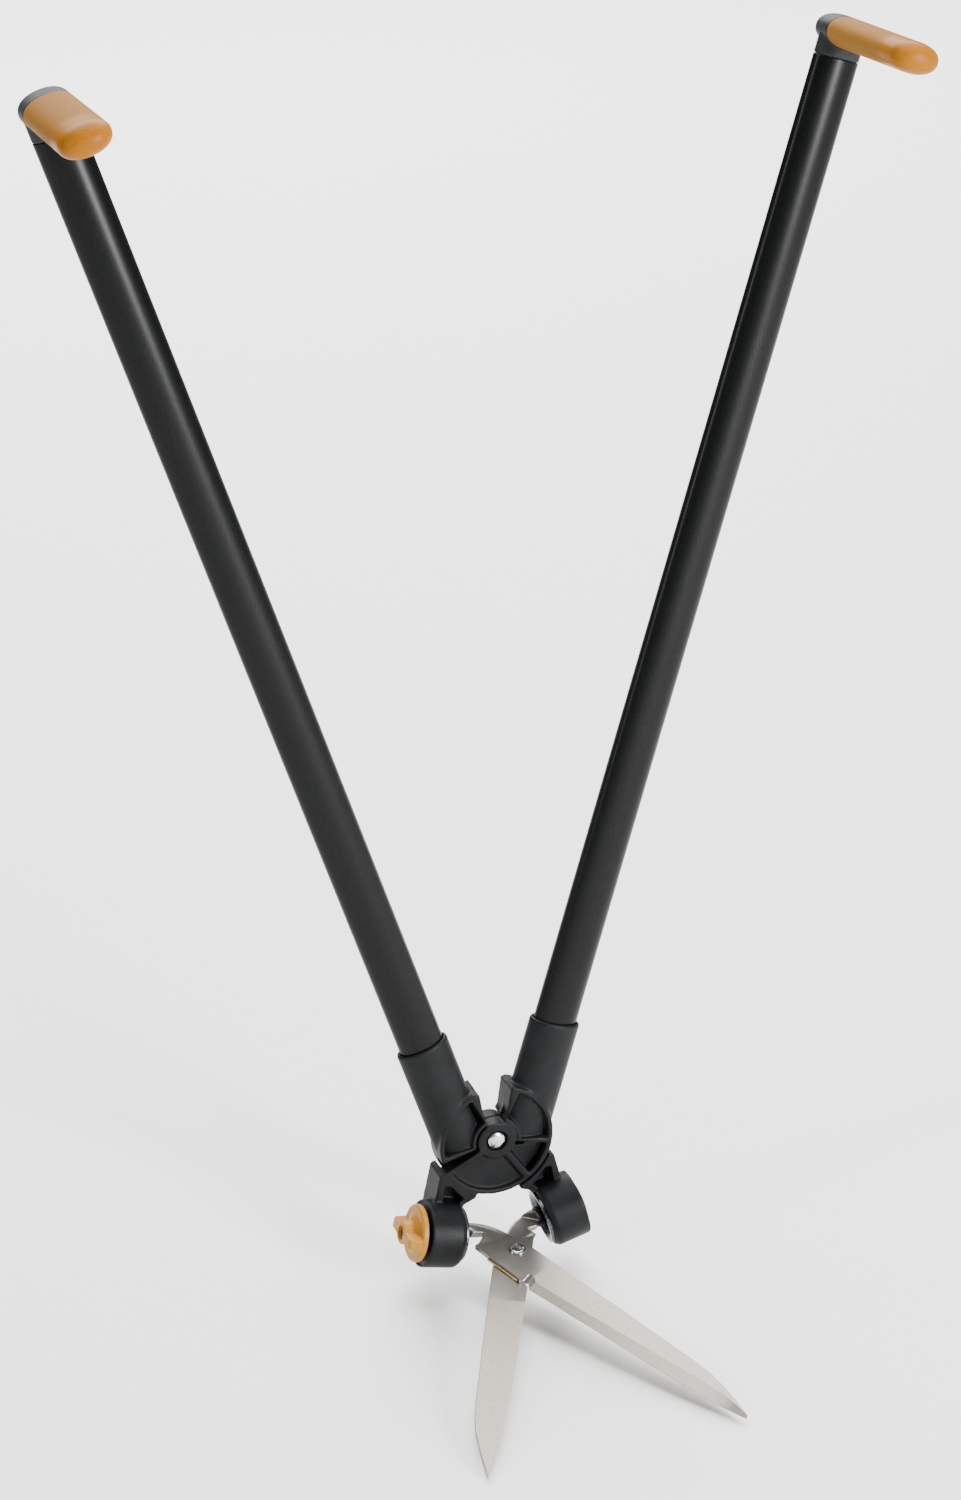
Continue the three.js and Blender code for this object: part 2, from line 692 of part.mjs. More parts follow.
const bladeNut = () => {
  const seat = -plateTo - GAP;
  const bottom = seat - BLADE_BOLT.nutHeight;
  const bore = BLADE_BOLT.shaft + GAP;
  const hex = new THREE.CylinderGeometry(BLADE_BOLT.nut, BLADE_BOLT.nut, BLADE_BOLT.nutHeight, 6);
  const hole = turnedZ([[seat + 1, 0], [seat + 1, bore], [bottom + 0.7, bore], [bottom + 0.7, 0]]);
  return cut(solidOf(hex.rotateX(Math.PI / 2).translate(0, 0, (seat + bottom) / 2)), hole);
};

// A nylon ball on a tang's neck, drawn about its centre with the shank towards +X.
function ballSolid(radius) {
  const sleeve = SHANK.neck + BALL.wall;
  const body = turnedX([
    ...sphereArc(radius, -radius, Math.sqrt(radius ** 2 - sleeve ** 2), 6),
    [BALL.collarFrom, sleeve],
    [BALL.collarFrom, BALL.collar],
    [BALL.collarTo, BALL.collar],
    [BALL.collarTo, 0],
  ]);
  const bore = turnedX([
    [-4 - GAP, 0],
    [-4 - GAP, SHANK.neck + GAP],
    [BALL.collarTo + 1, SHANK.neck + GAP],
    [BALL.collarTo + 1, 0],
  ]);
  return cut(solidOf(body), bore);
}

// ---------------------------------------------------------------- assembly

const PIVOT_BACK = half + 1; // flat back of the pivot nut, the origin of the part
root.position.y = -PIVOT_BACK;

function addHandle(lever, prefix, finishShape) {
  add(lever, prefix + "_tube", finishShape(geometryOf(tubeSolid())), "tube");
  add(lever, prefix + "_grip_cap", finishShape(geometryOf(capSolid())), "cap");
  add(lever, prefix + "_grip_sleeve", finishShape(geometryOf(sleeveSolid())), "grip");
  const pinHalf = TUBE.depth / 2 + SOCKET.wall + SOCKET.clearance - 0.4;
  const pin = rodY(TUBE_PIN.radius, -pinHalf, pinHalf, 16).translate(TUBE.offset, 0, TUBE_PIN.height);
  add(lever, prefix + "_tube_pin", finishShape(pin), "steel");
}

const asDrawn = (geometry) => geometry;

const frontLever = new THREE.Group();
frontLever.rotation.y = HALF_OPEN;
root.add(frontLever);
add(frontLever, "front_lever", leverSolid(true), "nylon");
addHandle(frontLever, "right", asDrawn);
add(frontLever, "left_retaining_ring", onPod(retainingRing()), "steel");

const rearLever = new THREE.Group();
rearLever.rotation.y = -HALF_OPEN;
root.add(rearLever);
add(rearLever, "rear_lever", mirrored(geometryOf(leverSolid(false))), "nylon");
addHandle(rearLever, "left", mirrored);
add(rearLever, "right_retaining_ring", mirrored(onPod(retainingRing())), "steel");
add(rearLever, "right_pod_cap", mirrored(onPod(podCap())), "nylon");

// Main pivot bolt, headed in front, with a closed nut behind.
const headSeat = -half + PIVOT.recessDepth - GAP;
const nutSeat = half - NUT.recessDepth + GAP;
const pivotBolt = turnedX([
  [headSeat, PIVOT.shaft],
  [headSeat, PIVOT.head],
  [headSeat - PIVOT.headHeight * 0.35, PIVOT.head],
  ...sphereArc(PIVOT.head, -PIVOT.headHeight * 0.2, -PIVOT.head, 4)
    .slice(1, -1)
    .map(([x, r]) => [headSeat - PIVOT.headHeight * 0.35 + (x * PIVOT.headHeight * 0.65) / PIVOT.head, r]),
  [headSeat - PIVOT.headHeight, 0],
  [half - 1.5, 0],
  [half - 1.5, PIVOT.shaft],
  [headSeat, PIVOT.shaft],
]).rotateZ(Math.PI / 2);
add(root, "pivot_bolt", pivotBolt, "steel");
const nutBore = PIVOT.shaft + GAP;
const pivotNut = turnedX([
  [nutSeat, nutBore],
  [nutSeat, NUT.radius],
  [PIVOT_BACK - 0.8, NUT.radius],
  [PIVOT_BACK, NUT.radius - 0.8],
  [PIVOT_BACK, 0],
  [half - 1.2, 0],
  [half - 1.2, nutBore],
  [nutSeat, nutBore],
]).rotateZ(Math.PI / 2);
add(root, "pivot_nut", pivotNut, "steel");

// Wing knob, its washer and clamp screw on the left pod, on the front lever's arm.
add(frontLever, "wing_knob", onPod(geometryOf(knobSolid())), "knob");
add(frontLever, "knob_washer", onPod(knobWasher()), "steel");
add(frontLever, "clamp_screw", onPod(clampScrew()), "steel");

// Swivel rings and cups, on the line between the two pods.
for (const [name, side, shape] of [
  ["left", 1, asDrawn],
  ["right", -1, mirrored],
]) {
  const swivel = new THREE.Group();
  swivel.position.set(-side * swivelX, POD.y, swivelZ);
  root.add(swivel);
  add(swivel, name + "_swivel_ring", shape(sphereZone(ringOuter, ringInner, SWIVEL_RING)), "steel");
  add(swivel, name + "_swivel_cup", shape(sphereZone(cupOuter, cupInner, SWIVEL_CUP)), "nylon");
}

// Blades, in the plane that holds both swivels.
const blades = new THREE.Group();
blades.position.set(0, POD.y - LINK_DROP * Math.sin(BLADE_TILT), swivelZ - LINK_DROP * Math.cos(BLADE_TILT));
blades.rotation.x = Math.PI / 2 - BLADE_TILT;
root.add(blades);
add(blades, "front_blade", frontBladeSolid(), "blade");
add(blades, "rear_blade", bladeSolid(REAR_BLADE, -plateTo, -plateFrom), "blade");
add(blades, "glide_strip", glideStrip(), "bronze");
add(blades, "blade_bolt", bladeBolt(), "steel");
add(blades, "blade_nut", bladeNut(), "steel");
for (const [name, side, radius] of [
  ["left", 1, BALL.radius],
  ["right", -1, BALL.radius - BALL.slack],
]) {
  const ball = geometryOf(ballSolid(radius));
  const shape = side > 0 ? ball : mirrored(ball);
  shape.rotateZ(-side * SHANK.lean).translate(-side * swivelX, LINK_DROP, 0);
  add(blades, name + "_ball", shape, "nylon");
}

export default root;
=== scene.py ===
# %% [markdown]
# Long-handled grass shears, from a packed mechanism to finished surfaces.
# The mechanism is already designed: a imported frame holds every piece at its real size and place, and
# knows which pieces move together. Blender's work here is the surface: rounded edges, moulded texture,
# ground steel and soft light. So the first step loads that frame and leaves it alone.

# %% Load the frame
import json
import math

import bmesh
import bpy
from mathutils import Matrix, Vector


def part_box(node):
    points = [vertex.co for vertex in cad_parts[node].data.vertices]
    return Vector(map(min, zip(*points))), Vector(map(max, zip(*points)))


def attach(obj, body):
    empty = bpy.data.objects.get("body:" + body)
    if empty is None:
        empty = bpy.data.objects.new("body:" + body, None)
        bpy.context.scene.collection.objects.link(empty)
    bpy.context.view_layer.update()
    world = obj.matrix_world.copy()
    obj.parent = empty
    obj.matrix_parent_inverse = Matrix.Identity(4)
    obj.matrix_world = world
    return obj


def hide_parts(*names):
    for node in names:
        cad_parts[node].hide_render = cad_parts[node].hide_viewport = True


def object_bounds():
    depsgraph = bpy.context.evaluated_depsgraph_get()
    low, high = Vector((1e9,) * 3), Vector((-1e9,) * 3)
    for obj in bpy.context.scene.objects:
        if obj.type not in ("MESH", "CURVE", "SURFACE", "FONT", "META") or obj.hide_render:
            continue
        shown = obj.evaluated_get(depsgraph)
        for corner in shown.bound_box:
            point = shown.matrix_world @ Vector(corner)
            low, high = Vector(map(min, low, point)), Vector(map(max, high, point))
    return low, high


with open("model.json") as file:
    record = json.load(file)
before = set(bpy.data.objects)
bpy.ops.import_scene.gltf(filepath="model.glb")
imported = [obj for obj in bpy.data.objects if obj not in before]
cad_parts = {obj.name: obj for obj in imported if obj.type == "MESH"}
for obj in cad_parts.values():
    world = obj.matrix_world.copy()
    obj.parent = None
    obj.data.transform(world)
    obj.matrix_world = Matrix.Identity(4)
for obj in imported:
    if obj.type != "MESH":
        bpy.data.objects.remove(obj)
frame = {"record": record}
cad_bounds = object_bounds()
MM = 0.001
DEG = math.pi / 180
joints = {joint["name"]: joint for joint in frame["record"]["behaviour"]["joints"]}

# %% [markdown]
# The camera comes first, because everything is judged through it. It stands a little over two metres
# away, to the left of the tool and above it, and looks down. The lens is long, so the perspective is
# gentle and the near grips don't swell.

# %% Camera
CAMERA_PLACE = Vector((-0.61257, -1.78899, 1.05961))
CAMERA_YAW, CAMERA_PITCH, CAMERA_ROLL = -0.332, -0.396, 0.029
LENS_MM, SENSOR_MM = 78.109, 36.0


def camera_matrix():
    turn = (
        Matrix.Rotation(CAMERA_YAW, 3, "Z")
        @ Matrix.Rotation(CAMERA_PITCH, 3, "X")
        @ Matrix.Rotation(CAMERA_ROLL, 3, "Y")
    )
    right, forward, up = turn.col
    axes = Matrix((right, up, -forward)).transposed()
    return Matrix.Translation(CAMERA_PLACE) @ axes.to_4x4()


lens = bpy.data.cameras.new("studio_camera")
lens.sensor_fit, lens.sensor_height, lens.lens = "VERTICAL", SENSOR_MM, LENS_MM
camera = bpy.data.objects.new("studio_camera", lens)
camera.matrix_world = camera_matrix()
bpy.context.scene.collection.objects.link(camera)
bpy.context.scene.camera = camera
print("camera is", round(CAMERA_PLACE.length, 3), "m from the origin")

# %% [markdown]
# Meshes are written as points and faces. Four shapes cover most of a moulded and turned tool: a
# prism pushed out of an outline, a solid turned on an axis, a skin lofted over rings, and a plain
# bar with an oval section. Each helper here returns a closed bmesh in millimetres.


# %% Prisms, turned solids and lofts
FACETS = 96  # round a circle or an oval, unless a shape says otherwise
ON_AXIS = 0.01  # a profile's radius where it meets its axis: never zero, so a ring's points stay apart


def full_turn(sides):
    return [2 * math.pi * i / sides for i in range(sides)]


def prism(outline, low, high):
    """A flat outline in X and Z, pushed from one Y to another."""
    shape = bmesh.new()
    count = len(outline)
    near = [shape.verts.new((x, low, z)) for x, z in outline]
    far = [shape.verts.new((x, high, z)) for x, z in outline]
    shape.faces.new(near)
    shape.faces.new(list(reversed(far)))
    for i in range(count):
        j = (i + 1) % count
        shape.faces.new((near[j], near[i], far[i], far[j]))
    bmesh.ops.recalc_face_normals(shape, faces=shape.faces)
    return shape


def loft(rings, closed=False):
    """A skin over rings of equal length, capped flat at both ends unless it closes on itself."""
    shape = bmesh.new()
    made = [[shape.verts.new(point) for point in ring] for ring in rings]
    count = len(made[0])
    pairs = list(zip(made, made[1:])) + ([(made[-1], made[0])] if closed else [])
    for low, high in pairs:
        for i in range(count):
            j = (i + 1) % count
            shape.faces.new((low[i], low[j], high[j], high[i]))
    if not closed:
        shape.faces.new(made[0])
        shape.faces.new(list(reversed(made[-1])))
    bmesh.ops.recalc_face_normals(shape, faces=shape.faces)
    return shape


def turned(profile, sides=FACETS):
    """A solid turned about X. The profile lists (x, radius); it is closed when its ends meet."""
    closed = profile[0] == profile[-1]
    points = profile[:-1] if closed else profile
    turn = full_turn(sides)
    rings = [[(x, radius * math.cos(a), radius * math.sin(a)) for a in turn] for x, radius in points]
    return loft(rings, closed)


def oval(half_x, half_y, z, centre_x=0.0, sides=FACETS):
    return [(centre_x + half_x * math.cos(a), half_y * math.sin(a), z) for a in full_turn(sides)]


def rounded(profile, radius, steps=4):
    """Rounds every inner corner of a turned profile that has room for it."""
    out = [profile[0]]
    for before, here, after in zip(profile, profile[1:], profile[2:]):
        a, b, c = Vector(before), Vector(here), Vector(after)
        reach = min(radius, (a - b).length * 0.45, (c - b).length * 0.45)
        start, end = b + (a - b).normalized() * reach, b + (c - b).normalized() * reach
        for i in range(steps + 1):
            t = i / steps
            out.append(tuple(start * (1 - t) ** 2 + b * 2 * t * (1 - t) + end * t**2))
    return out + [profile[-1]]


print("circles and ovals have", FACETS, "facets")

# %% [markdown]
# A bmesh becomes an object through one door, `build`. It joins the shapes, changes millimetres to
# metres, and places them with a matrix. Modifiers are applied at once, so what leaves this script is
# plain mesh. A moulded part has no sharp edges, and `mould` gives that: it fuses overlapping solids
# into one skin on a fine grid, then relaxes the skin, so every rib gets its fillet at once.


# %% From shapes to objects
def build(name, shapes, place=Matrix(), mirror=False):
    mesh = bpy.data.meshes.new(name)
    joined = bmesh.new()
    for shape in shapes:
        part = bpy.data.meshes.new("part")
        shape.to_mesh(part)
        joined.from_mesh(part)
        shape.free()
        bpy.data.meshes.remove(part)
    if mirror:
        bmesh.ops.scale(joined, vec=(-1, 1, 1), verts=joined.verts)
        bmesh.ops.reverse_faces(joined, faces=joined.faces)
    joined.to_mesh(mesh)
    joined.free()
    mesh.transform(place @ Matrix.Scale(MM, 4))
    thing = bpy.data.objects.new(name, mesh)
    bpy.context.scene.collection.objects.link(thing)
    return thing


def apply_modifiers(thing):
    depsgraph = bpy.context.evaluated_depsgraph_get()
    mesh = bpy.data.meshes.new_from_object(thing.evaluated_get(depsgraph))
    thing.modifiers.clear()
    old, thing.data = thing.data, mesh
    bpy.data.meshes.remove(old)


def carve(thing, cutters):
    """Cuts each closed cutter out of the thing."""
    for cutter in cutters:
        step = thing.modifiers.new("cut", "BOOLEAN")
        step.operation, step.solver, step.object = "DIFFERENCE", "EXACT", cutter
        apply_modifiers(thing)
        old = cutter.data
        bpy.data.objects.remove(cutter)
        bpy.data.meshes.remove(old)


def mould(thing, grid, relax=4, keep=1.0):
    """Fuses the solids of a thing on a grid, in mm, relaxes the skin and thins its faces."""
    step = thing.modifiers.new("fuse", "REMESH")
    step.mode, step.voxel_size = "VOXEL", grid * MM
    step = thing.modifiers.new("relax", "SMOOTH")
    step.factor, step.iterations = 0.5, relax
    if keep < 1:
        step = thing.modifiers.new("thin", "DECIMATE")
        step.ratio = keep
    apply_modifiers(thing)


def soften_edges(thing, width, segments=3, angle=35):
    step = thing.modifiers.new("edge", "BEVEL")
    step.width, step.segments = width * MM, segments
    step.limit_method, step.angle_limit = "ANGLE", angle * DEG
    step.use_clamp_overlap = True
    apply_modifiers(thing)


def smooth_shading(thing, angle=40):
    for face in thing.data.polygons:
        face.use_smooth = True
    thing.data.set_sharp_from_angle(angle=angle * DEG)


print("one unit is a metre, and shapes are scaled by", MM)

# %% [markdown]
# Materials are node trees. `linear` turns an sRGB hex value, the kind a colour card gives, into the
# linear numbers Blender works in. `add_node` adds a node with its settings and links. The functions
# after it add what nearly every finish needs: noise, a ramp between two colours, and a bump.
#
# The blacks and oranges set their specular level well under the shader's usual 0.5. That was chosen
# because higher levels let the large soft lights turn the black parts grey and wash the orange out.


# %% Material helpers
def linear(code):
    parts = [int(code[i : i + 2], 16) / 255 for i in (1, 3, 5)]
    return [p / 12.92 if p <= 0.04045 else ((p + 0.055) / 1.055) ** 2.4 for p in parts] + [1.0]


def add_node(tree, kind, settings=None, inputs=None):
    node = tree.nodes.new(kind)
    for key, value in (settings or {}).items():
        setattr(node, key, value)
    for key, value in (inputs or {}).items():
        if isinstance(value, bpy.types.NodeSocket):
            tree.links.new(value, node.inputs[key])
        else:
            node.inputs[key].default_value = value
    return node


def new_material(name, **steady):
    """A material with one Principled shader, its steady values set on the shader's own sockets."""
    material = bpy.data.materials.new(name)
    material.use_nodes = True
    tree = material.node_tree
    tree.nodes.clear()
    shader = add_node(tree, "ShaderNodeBsdfPrincipled", inputs=steady)
    add_node(tree, "ShaderNodeOutputMaterial", inputs={"Surface": shader.outputs[0]})
    return material, tree, shader


def object_place(tree):
    return add_node(tree, "ShaderNodeTexCoord").outputs["Object"]


def noise(tree, place, size_mm, detail):
    """Noise repeats about once per unit at scale 1, and a unit here is a metre."""
    inputs = {"Vector": place, "Scale": 1 / (size_mm * MM), "Detail": detail}
    return add_node(tree, "ShaderNodeTexNoise", inputs=inputs).outputs["Fac"]


def colour_ramp(tree, source, dark, light, start=0.35):
    """From one colour to another over the middle of a value's range."""
    ramp = add_node(tree, "ShaderNodeValToRGB", inputs={"Fac": source})
    for point, place, code in zip(ramp.color_ramp.elements, (start, 1 - start), (dark, light)):
        point.position, point.color = place, linear(code)
    return ramp.outputs["Color"]


def value_ramp(tree, source, low, high, start=0.35, end=0.65):
    inputs = {"Value": source, "From Min": start, "From Max": end, "To Min": low, "To Max": high}
    return add_node(tree, "ShaderNodeMapRange", inputs=inputs).outputs["Result"]


def blend(tree, share, first, second):
    """Mixes two colours. A mix node keeps its colour sockets after those for numbers and vectors."""
    inputs = {0: share, 6: first, 7: second}
    return add_node(tree, "ShaderNodeMix", {"data_type": "RGBA"}, inputs).outputs[2]


def link_surface(tree, shader, sources, height, strength, depth_mm):
    """Links whatever varies over a surface to the shader's sockets, with a bump from one height."""
    inputs = {"Height": height, "Strength": strength, "Distance": depth_mm * MM}
    sources["Normal"] = add_node(tree, "ShaderNodeBump", inputs=inputs).outputs[0]
    for socket, source in sources.items():
        tree.links.new(source, shader.inputs[socket])


print("middle grey #808080 is", round(linear("#808080")[0], 3), "in linear light")

# %% [markdown]
# Glass-filled nylon. The head and its arms are moulded in black nylon with short glass fibres in it.
# The mould is spark-eroded, so the skin has a fine grain of about half a millimetre and scatters light
# evenly. A broader noise shifts its shade a little. Nylon's IOR is about 1.53.

# %% Black glass-filled nylon
GRAIN_MM, SHADE_MM = 0.55, 14


def make_nylon(name, dark, light, roughness, strength):
    material, tree, shader = new_material(name, **{"IOR": 1.53, "Specular IOR Level": 0.11})
    place = object_place(tree)
    grain = noise(tree, place, GRAIN_MM, 2.0)
    mixed = 0.0
    for source, share in ((grain, 0.55), (noise(tree, place, SHADE_MM, 4.0), 0.45)):
        inputs = {0: source, 1: share, 2: mixed}
        mixed = add_node(tree, "ShaderNodeMath", {"operation": "MULTIPLY_ADD"}, inputs).outputs[0]
    sources = {
        "Base Color": colour_ramp(tree, mixed, dark, light, 0.38),
        "Roughness": value_ramp(tree, mixed, roughness - 0.05, roughness + 0.08),
    }
    link_surface(tree, shader, sources, grain, strength, 0.12)
    return material


nylon = make_nylon("glass_filled_nylon", "#090a0b", "#151618", 0.46, 0.7)
cap_nylon = make_nylon("grey_nylon", "#1d1f21", "#2a2c2e", 0.5, 0.5)
print("nylon grain", GRAIN_MM, "mm")

# %% [markdown]
# Anodised aluminium. The handles are drawn aluminium tube, dyed black in the anodic layer, and what
# shows is the long soft reflections down them. A fine speckle drives the colour and the bump. The
# roughness follows noise stretched fifty times along Z, for the drawing lines. The tubes lean, so the
# lines run close to a tube's length and not exactly along it.

# %% Black anodised aluminium tube
SPECKLE_MM, DRAW_LINE_MM = 0.35, 1.2


def make_tube_finish():
    steady = {"IOR": 1.6, "Specular IOR Level": 0.1}
    material, tree, shader = new_material("black_anodised_aluminium", **steady)
    place = object_place(tree)
    speckle = noise(tree, place, SPECKLE_MM, 2.0)
    inputs = {"Vector": place, "Scale": (1.0, 1.0, 0.02)}
    stretched = add_node(tree, "ShaderNodeMapping", inputs=inputs).outputs[0]
    sources = {
        "Base Color": colour_ramp(tree, speckle, "#050606", "#0b0c0d"),
        "Roughness": value_ramp(tree, noise(tree, stretched, DRAW_LINE_MM, 3.0), 0.27, 0.29),
    }
    link_surface(tree, shader, sources, speckle, 0.12, 0.04)
    return material


anodised = make_tube_finish()
print("tube speckle", SPECKLE_MM, "mm, drawing lines", DRAW_LINE_MM, "mm")

# %% [markdown]
# Soft orange grips. The sleeves are a thermoplastic rubber over a hard core: matt, with a fine
# orange-peel texture. The end of each sleeve is the same rubber in a glossier mould, so it looks
# deeper and more saturated. A mask along the sleeve changes both colour and roughness there.

# %% Orange grip rubber
GRIP_GLOSS_MM, GRIP_FADE_MM = 27, 5


def make_grip_finish(name, tip_y):
    material, tree, shader = new_material(name, **{"IOR": 1.5, "Specular IOR Level": 0.06})
    place = object_place(tree)
    peel = noise(tree, place, 0.8, 3.0)
    along = add_node(tree, "ShaderNodeSeparateXYZ", inputs={"Vector": place}).outputs["Y"]
    edge, fade = tip_y + GRIP_GLOSS_MM * MM, GRIP_FADE_MM * MM
    gloss = value_ramp(tree, along, 1.0, 0.0, edge - fade, edge + fade)
    body = colour_ramp(tree, peel, "#784f16", "#885d20")
    tip = colour_ramp(tree, peel, "#855008", "#935b10")
    sources = {
        "Base Color": blend(tree, gloss, body, tip),
        "Roughness": value_ramp(tree, gloss, 0.62, 0.36, 0, 1),
    }
    link_surface(tree, shader, sources, peel, 0.3, 0.1)
    return material


print("glossy for the last", GRIP_GLOSS_MM, "mm of each grip")

# %% [markdown]
# The wing knob is moulded in orange polypropylene. It is smoother than the grips, and a gentle bump
# keeps its reflections from looking machined.


# %% Orange polypropylene
def make_knob_finish():
    steady = {"IOR": 1.49, "Specular IOR Level": 0.2, "Roughness": 0.4}
    material, tree, shader = new_material("orange_polypropylene", **steady)
    skin = noise(tree, object_place(tree), 1.1, 3.0)
    link_surface(
        tree, shader, {"Base Color": colour_ramp(tree, skin, "#9a6614", "#ac761f")}, skin, 0.2, 0.08
    )
    return material


orange = make_knob_finish()
print("made", orange.name)

# %% [markdown]
# Metals. Each is a full metal, told apart by colour and roughness, and one noise varies both. Bolts
# and nuts are zinc plated, bright and slightly uneven. Rings and pins are dark spring steel.


# %% Zinc plate, spring steel and bronze
def make_metal(name, dark, light, low, high, patch_mm):
    material, tree, shader = new_material(name, **{"Metallic": 1.0})
    patch = noise(tree, object_place(tree), patch_mm, 4.0)
    sources = {
        "Base Color": colour_ramp(tree, patch, dark, light, 0.3),
        "Roughness": value_ramp(tree, patch, low, high),
    }
    link_surface(tree, shader, sources, patch, 0.15, 0.05)
    return material


zinc = make_metal("zinc_plated_steel", "#b4b6b8", "#d6d7d8", 0.16, 0.3, 3.0)
spring_steel = make_metal("dark_spring_steel", "#36383b", "#66686b", 0.22, 0.36, 2.0)
bronze = make_metal("bearing_bronze", "#a98a57", "#c9ad78", 0.3, 0.42, 1.5)
print("metals:", zinc.name, spring_steel.name, bronze.name)

# %% [markdown]
# The blades need their own steel. Near the pivot the flat is darker, with broad clouds in it; past a
# line it is paler, rougher and finely grained. A mask by distance along the blade switches between
# the two finishes.

# %% Ground blade steel
DARK_FLAT, PALE_FLAT = ("#75726d", "#8f8b85"), ("#8a847c", "#a29b92")
GROUND_GRAIN_MM, CLOUD_MM, FINISH_FADE_MM = 0.9, 25, 0.8


def make_blade_steel(name, pivot, along, pale_from):
    material, tree, shader = new_material(name, **{"Metallic": 0.85})
    place = object_place(tree)
    away = add_node(tree, "ShaderNodeVectorMath", {"operation": "SUBTRACT"}, {0: place, 1: tuple(pivot)})
    inputs = {0: away.outputs[0], 1: tuple(along)}
    distance = add_node(tree, "ShaderNodeVectorMath", {"operation": "DOT_PRODUCT"}, inputs).outputs["Value"]
    low, high = (pale_from - FINISH_FADE_MM) * MM, (pale_from + FINISH_FADE_MM) * MM
    pale = value_ramp(tree, distance, 0.0, 1.0, low, high)
    grain, cloud = noise(tree, place, GROUND_GRAIN_MM, 3.0), noise(tree, place, CLOUD_MM, 3.0)
    dark_side = colour_ramp(tree, cloud, *DARK_FLAT, 0.3)
    pale_side = colour_ramp(tree, grain, *PALE_FLAT, 0.3)
    sources = {
        "Base Color": blend(tree, pale, dark_side, pale_side),
        "Roughness": value_ramp(tree, pale, 0.3, 0.5, 0, 1),
    }
    link_surface(tree, shader, sources, grain, 0.18, 0.05)
    return material


print("blade flats from", DARK_FLAT[0], "near the pivot to", PALE_FLAT[1])

# %% [markdown]
# Every finished piece goes through `dress`: smooth shading, its material, the body it moves with and
# the CAD nodes it stands for.


# %% Dress a piece
def dress(thing, material, body, nodes, angle=40):
    thing.data.materials.clear()
    thing.data.materials.append(material)
    smooth_shading(thing, angle)
    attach(thing, body)
    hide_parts(*nodes)
    print(f"{thing.name}: {len(thing.data.polygons)} faces, rides on {body}")
    return thing


# %% [markdown]
# The two levers cross at the main pivot. Each is drawn in its own frame, with the pivot at the origin
# and the tube up +Z, then leant 17.5 degrees, and the rear one is mirrored first. Where they overlap
# the front one keeps to the front half of the head and the rear one to the back half.

# %% The levers' frames
HALF_OPEN = 17.5
HEAD_BACK = 12.0  # the origin is this far behind the head's middle


def lever_place(front):
    lean = HALF_OPEN if front else -HALF_OPEN
    return Matrix.Translation((0, -HEAD_BACK * MM, 0)) @ Matrix.Rotation(lean * DEG, 4, "Y")


SIDES = {
    "right": {"front": True, "body": "front_lever"},
    "left": {"front": False, "body": "rear_lever"},
}
print("lean", HALF_OPEN, "degrees to each side")

# %% [markdown]
# A lever's head is a disc with ribs, like the spokes of a wheel, because a solid block of nylon that
# thick would sink and warp as it cooled. The outline pieces below overlap freely: the mould step will
# fuse them.

# %% Lever dimensions, in millimetres
DISC, RIB, HUB, DEPTH = 39.3, 3.3, 13.0, 11.0  # radii, and half the head's depth
SPLIT, FREE = 0.25, 14.2  # half the slit between the levers, and the radius kept free round the hub
WEB, SHALLOW = 2.5, 3.0  # a pocket's floor at the far side, and a shallow pocket's depth
SECTOR_END, DISC_END, SPOKE_AT = 87.0, 227.2, 129.0
TUBE_OFFSET, TUBE_HALF, TUBE_HALF_DEPTH = 21.3, 15.0, 8.5
SOCKET_WALL, SOCKET_FOOT, SOCKET_RIM, SEAT_GAP = 2.6, 5.2, 86.0, 0.35
POD_RADIUS, POD_BACK, POD_MOUTH, POD_TILT, POD_DROP = 22.3, -19.0, 6.0, 3.5, -11.4
ARM_LENGTH, ARM_ANGLE, ARM_OUTER = 71.5, 13.2, 32.4
swivel_x = -math.sin(ARM_ANGLE * DEG) * ARM_LENGTH
swivel_z = -math.cos(ARM_ANGLE * DEG) * ARM_LENGTH
pod_top = swivel_z + POD_RADIUS
pod_inner = swivel_x + POD_MOUTH


def polar(radius, angle):
    return (radius * math.sin(angle * DEG), radius * math.cos(angle * DEG))


def sector(inner, outer, start, end, steps=80):
    turn = [start + (end - start) * i / steps for i in range(steps + 1)]
    return [polar(outer, a) for a in turn] + [polar(inner, a) for a in reversed(turn)]


def spoke(inner, outer, angle, width, past=0.5):
    along = polar(1, angle)
    across = (along[1], -along[0])
    low, high = -width * (1 - past), width * past
    corners = [(inner, low), (outer, low), (outer, high), (inner, high)]
    return [(along[0] * r + across[0] * w, along[1] * r + across[1] * w) for r, w in corners]


def post(radius, low, high):
    return prism([polar(radius, 360 * i / FACETS) for i in range(FACETS)], low, high)


pod_place = (
    Matrix.Translation((swivel_x, POD_DROP, swivel_z)) @ Matrix.Rotation(-POD_TILT * DEG, 4, "Y")
)


def on_pod(shape):
    shape.transform(pod_place)
    return shape


print("each swivel is", ARM_LENGTH, "mm from the main pivot")

# %% [markdown]
# The lever body is added up from prisms and fused. Then it is cut: the bore for the swivel, the seat
# for the tube, the pivot's hole, and the recesses. Cutting after fusing keeps the bores clean, and a
# second, finer pass rounds their edges as well.


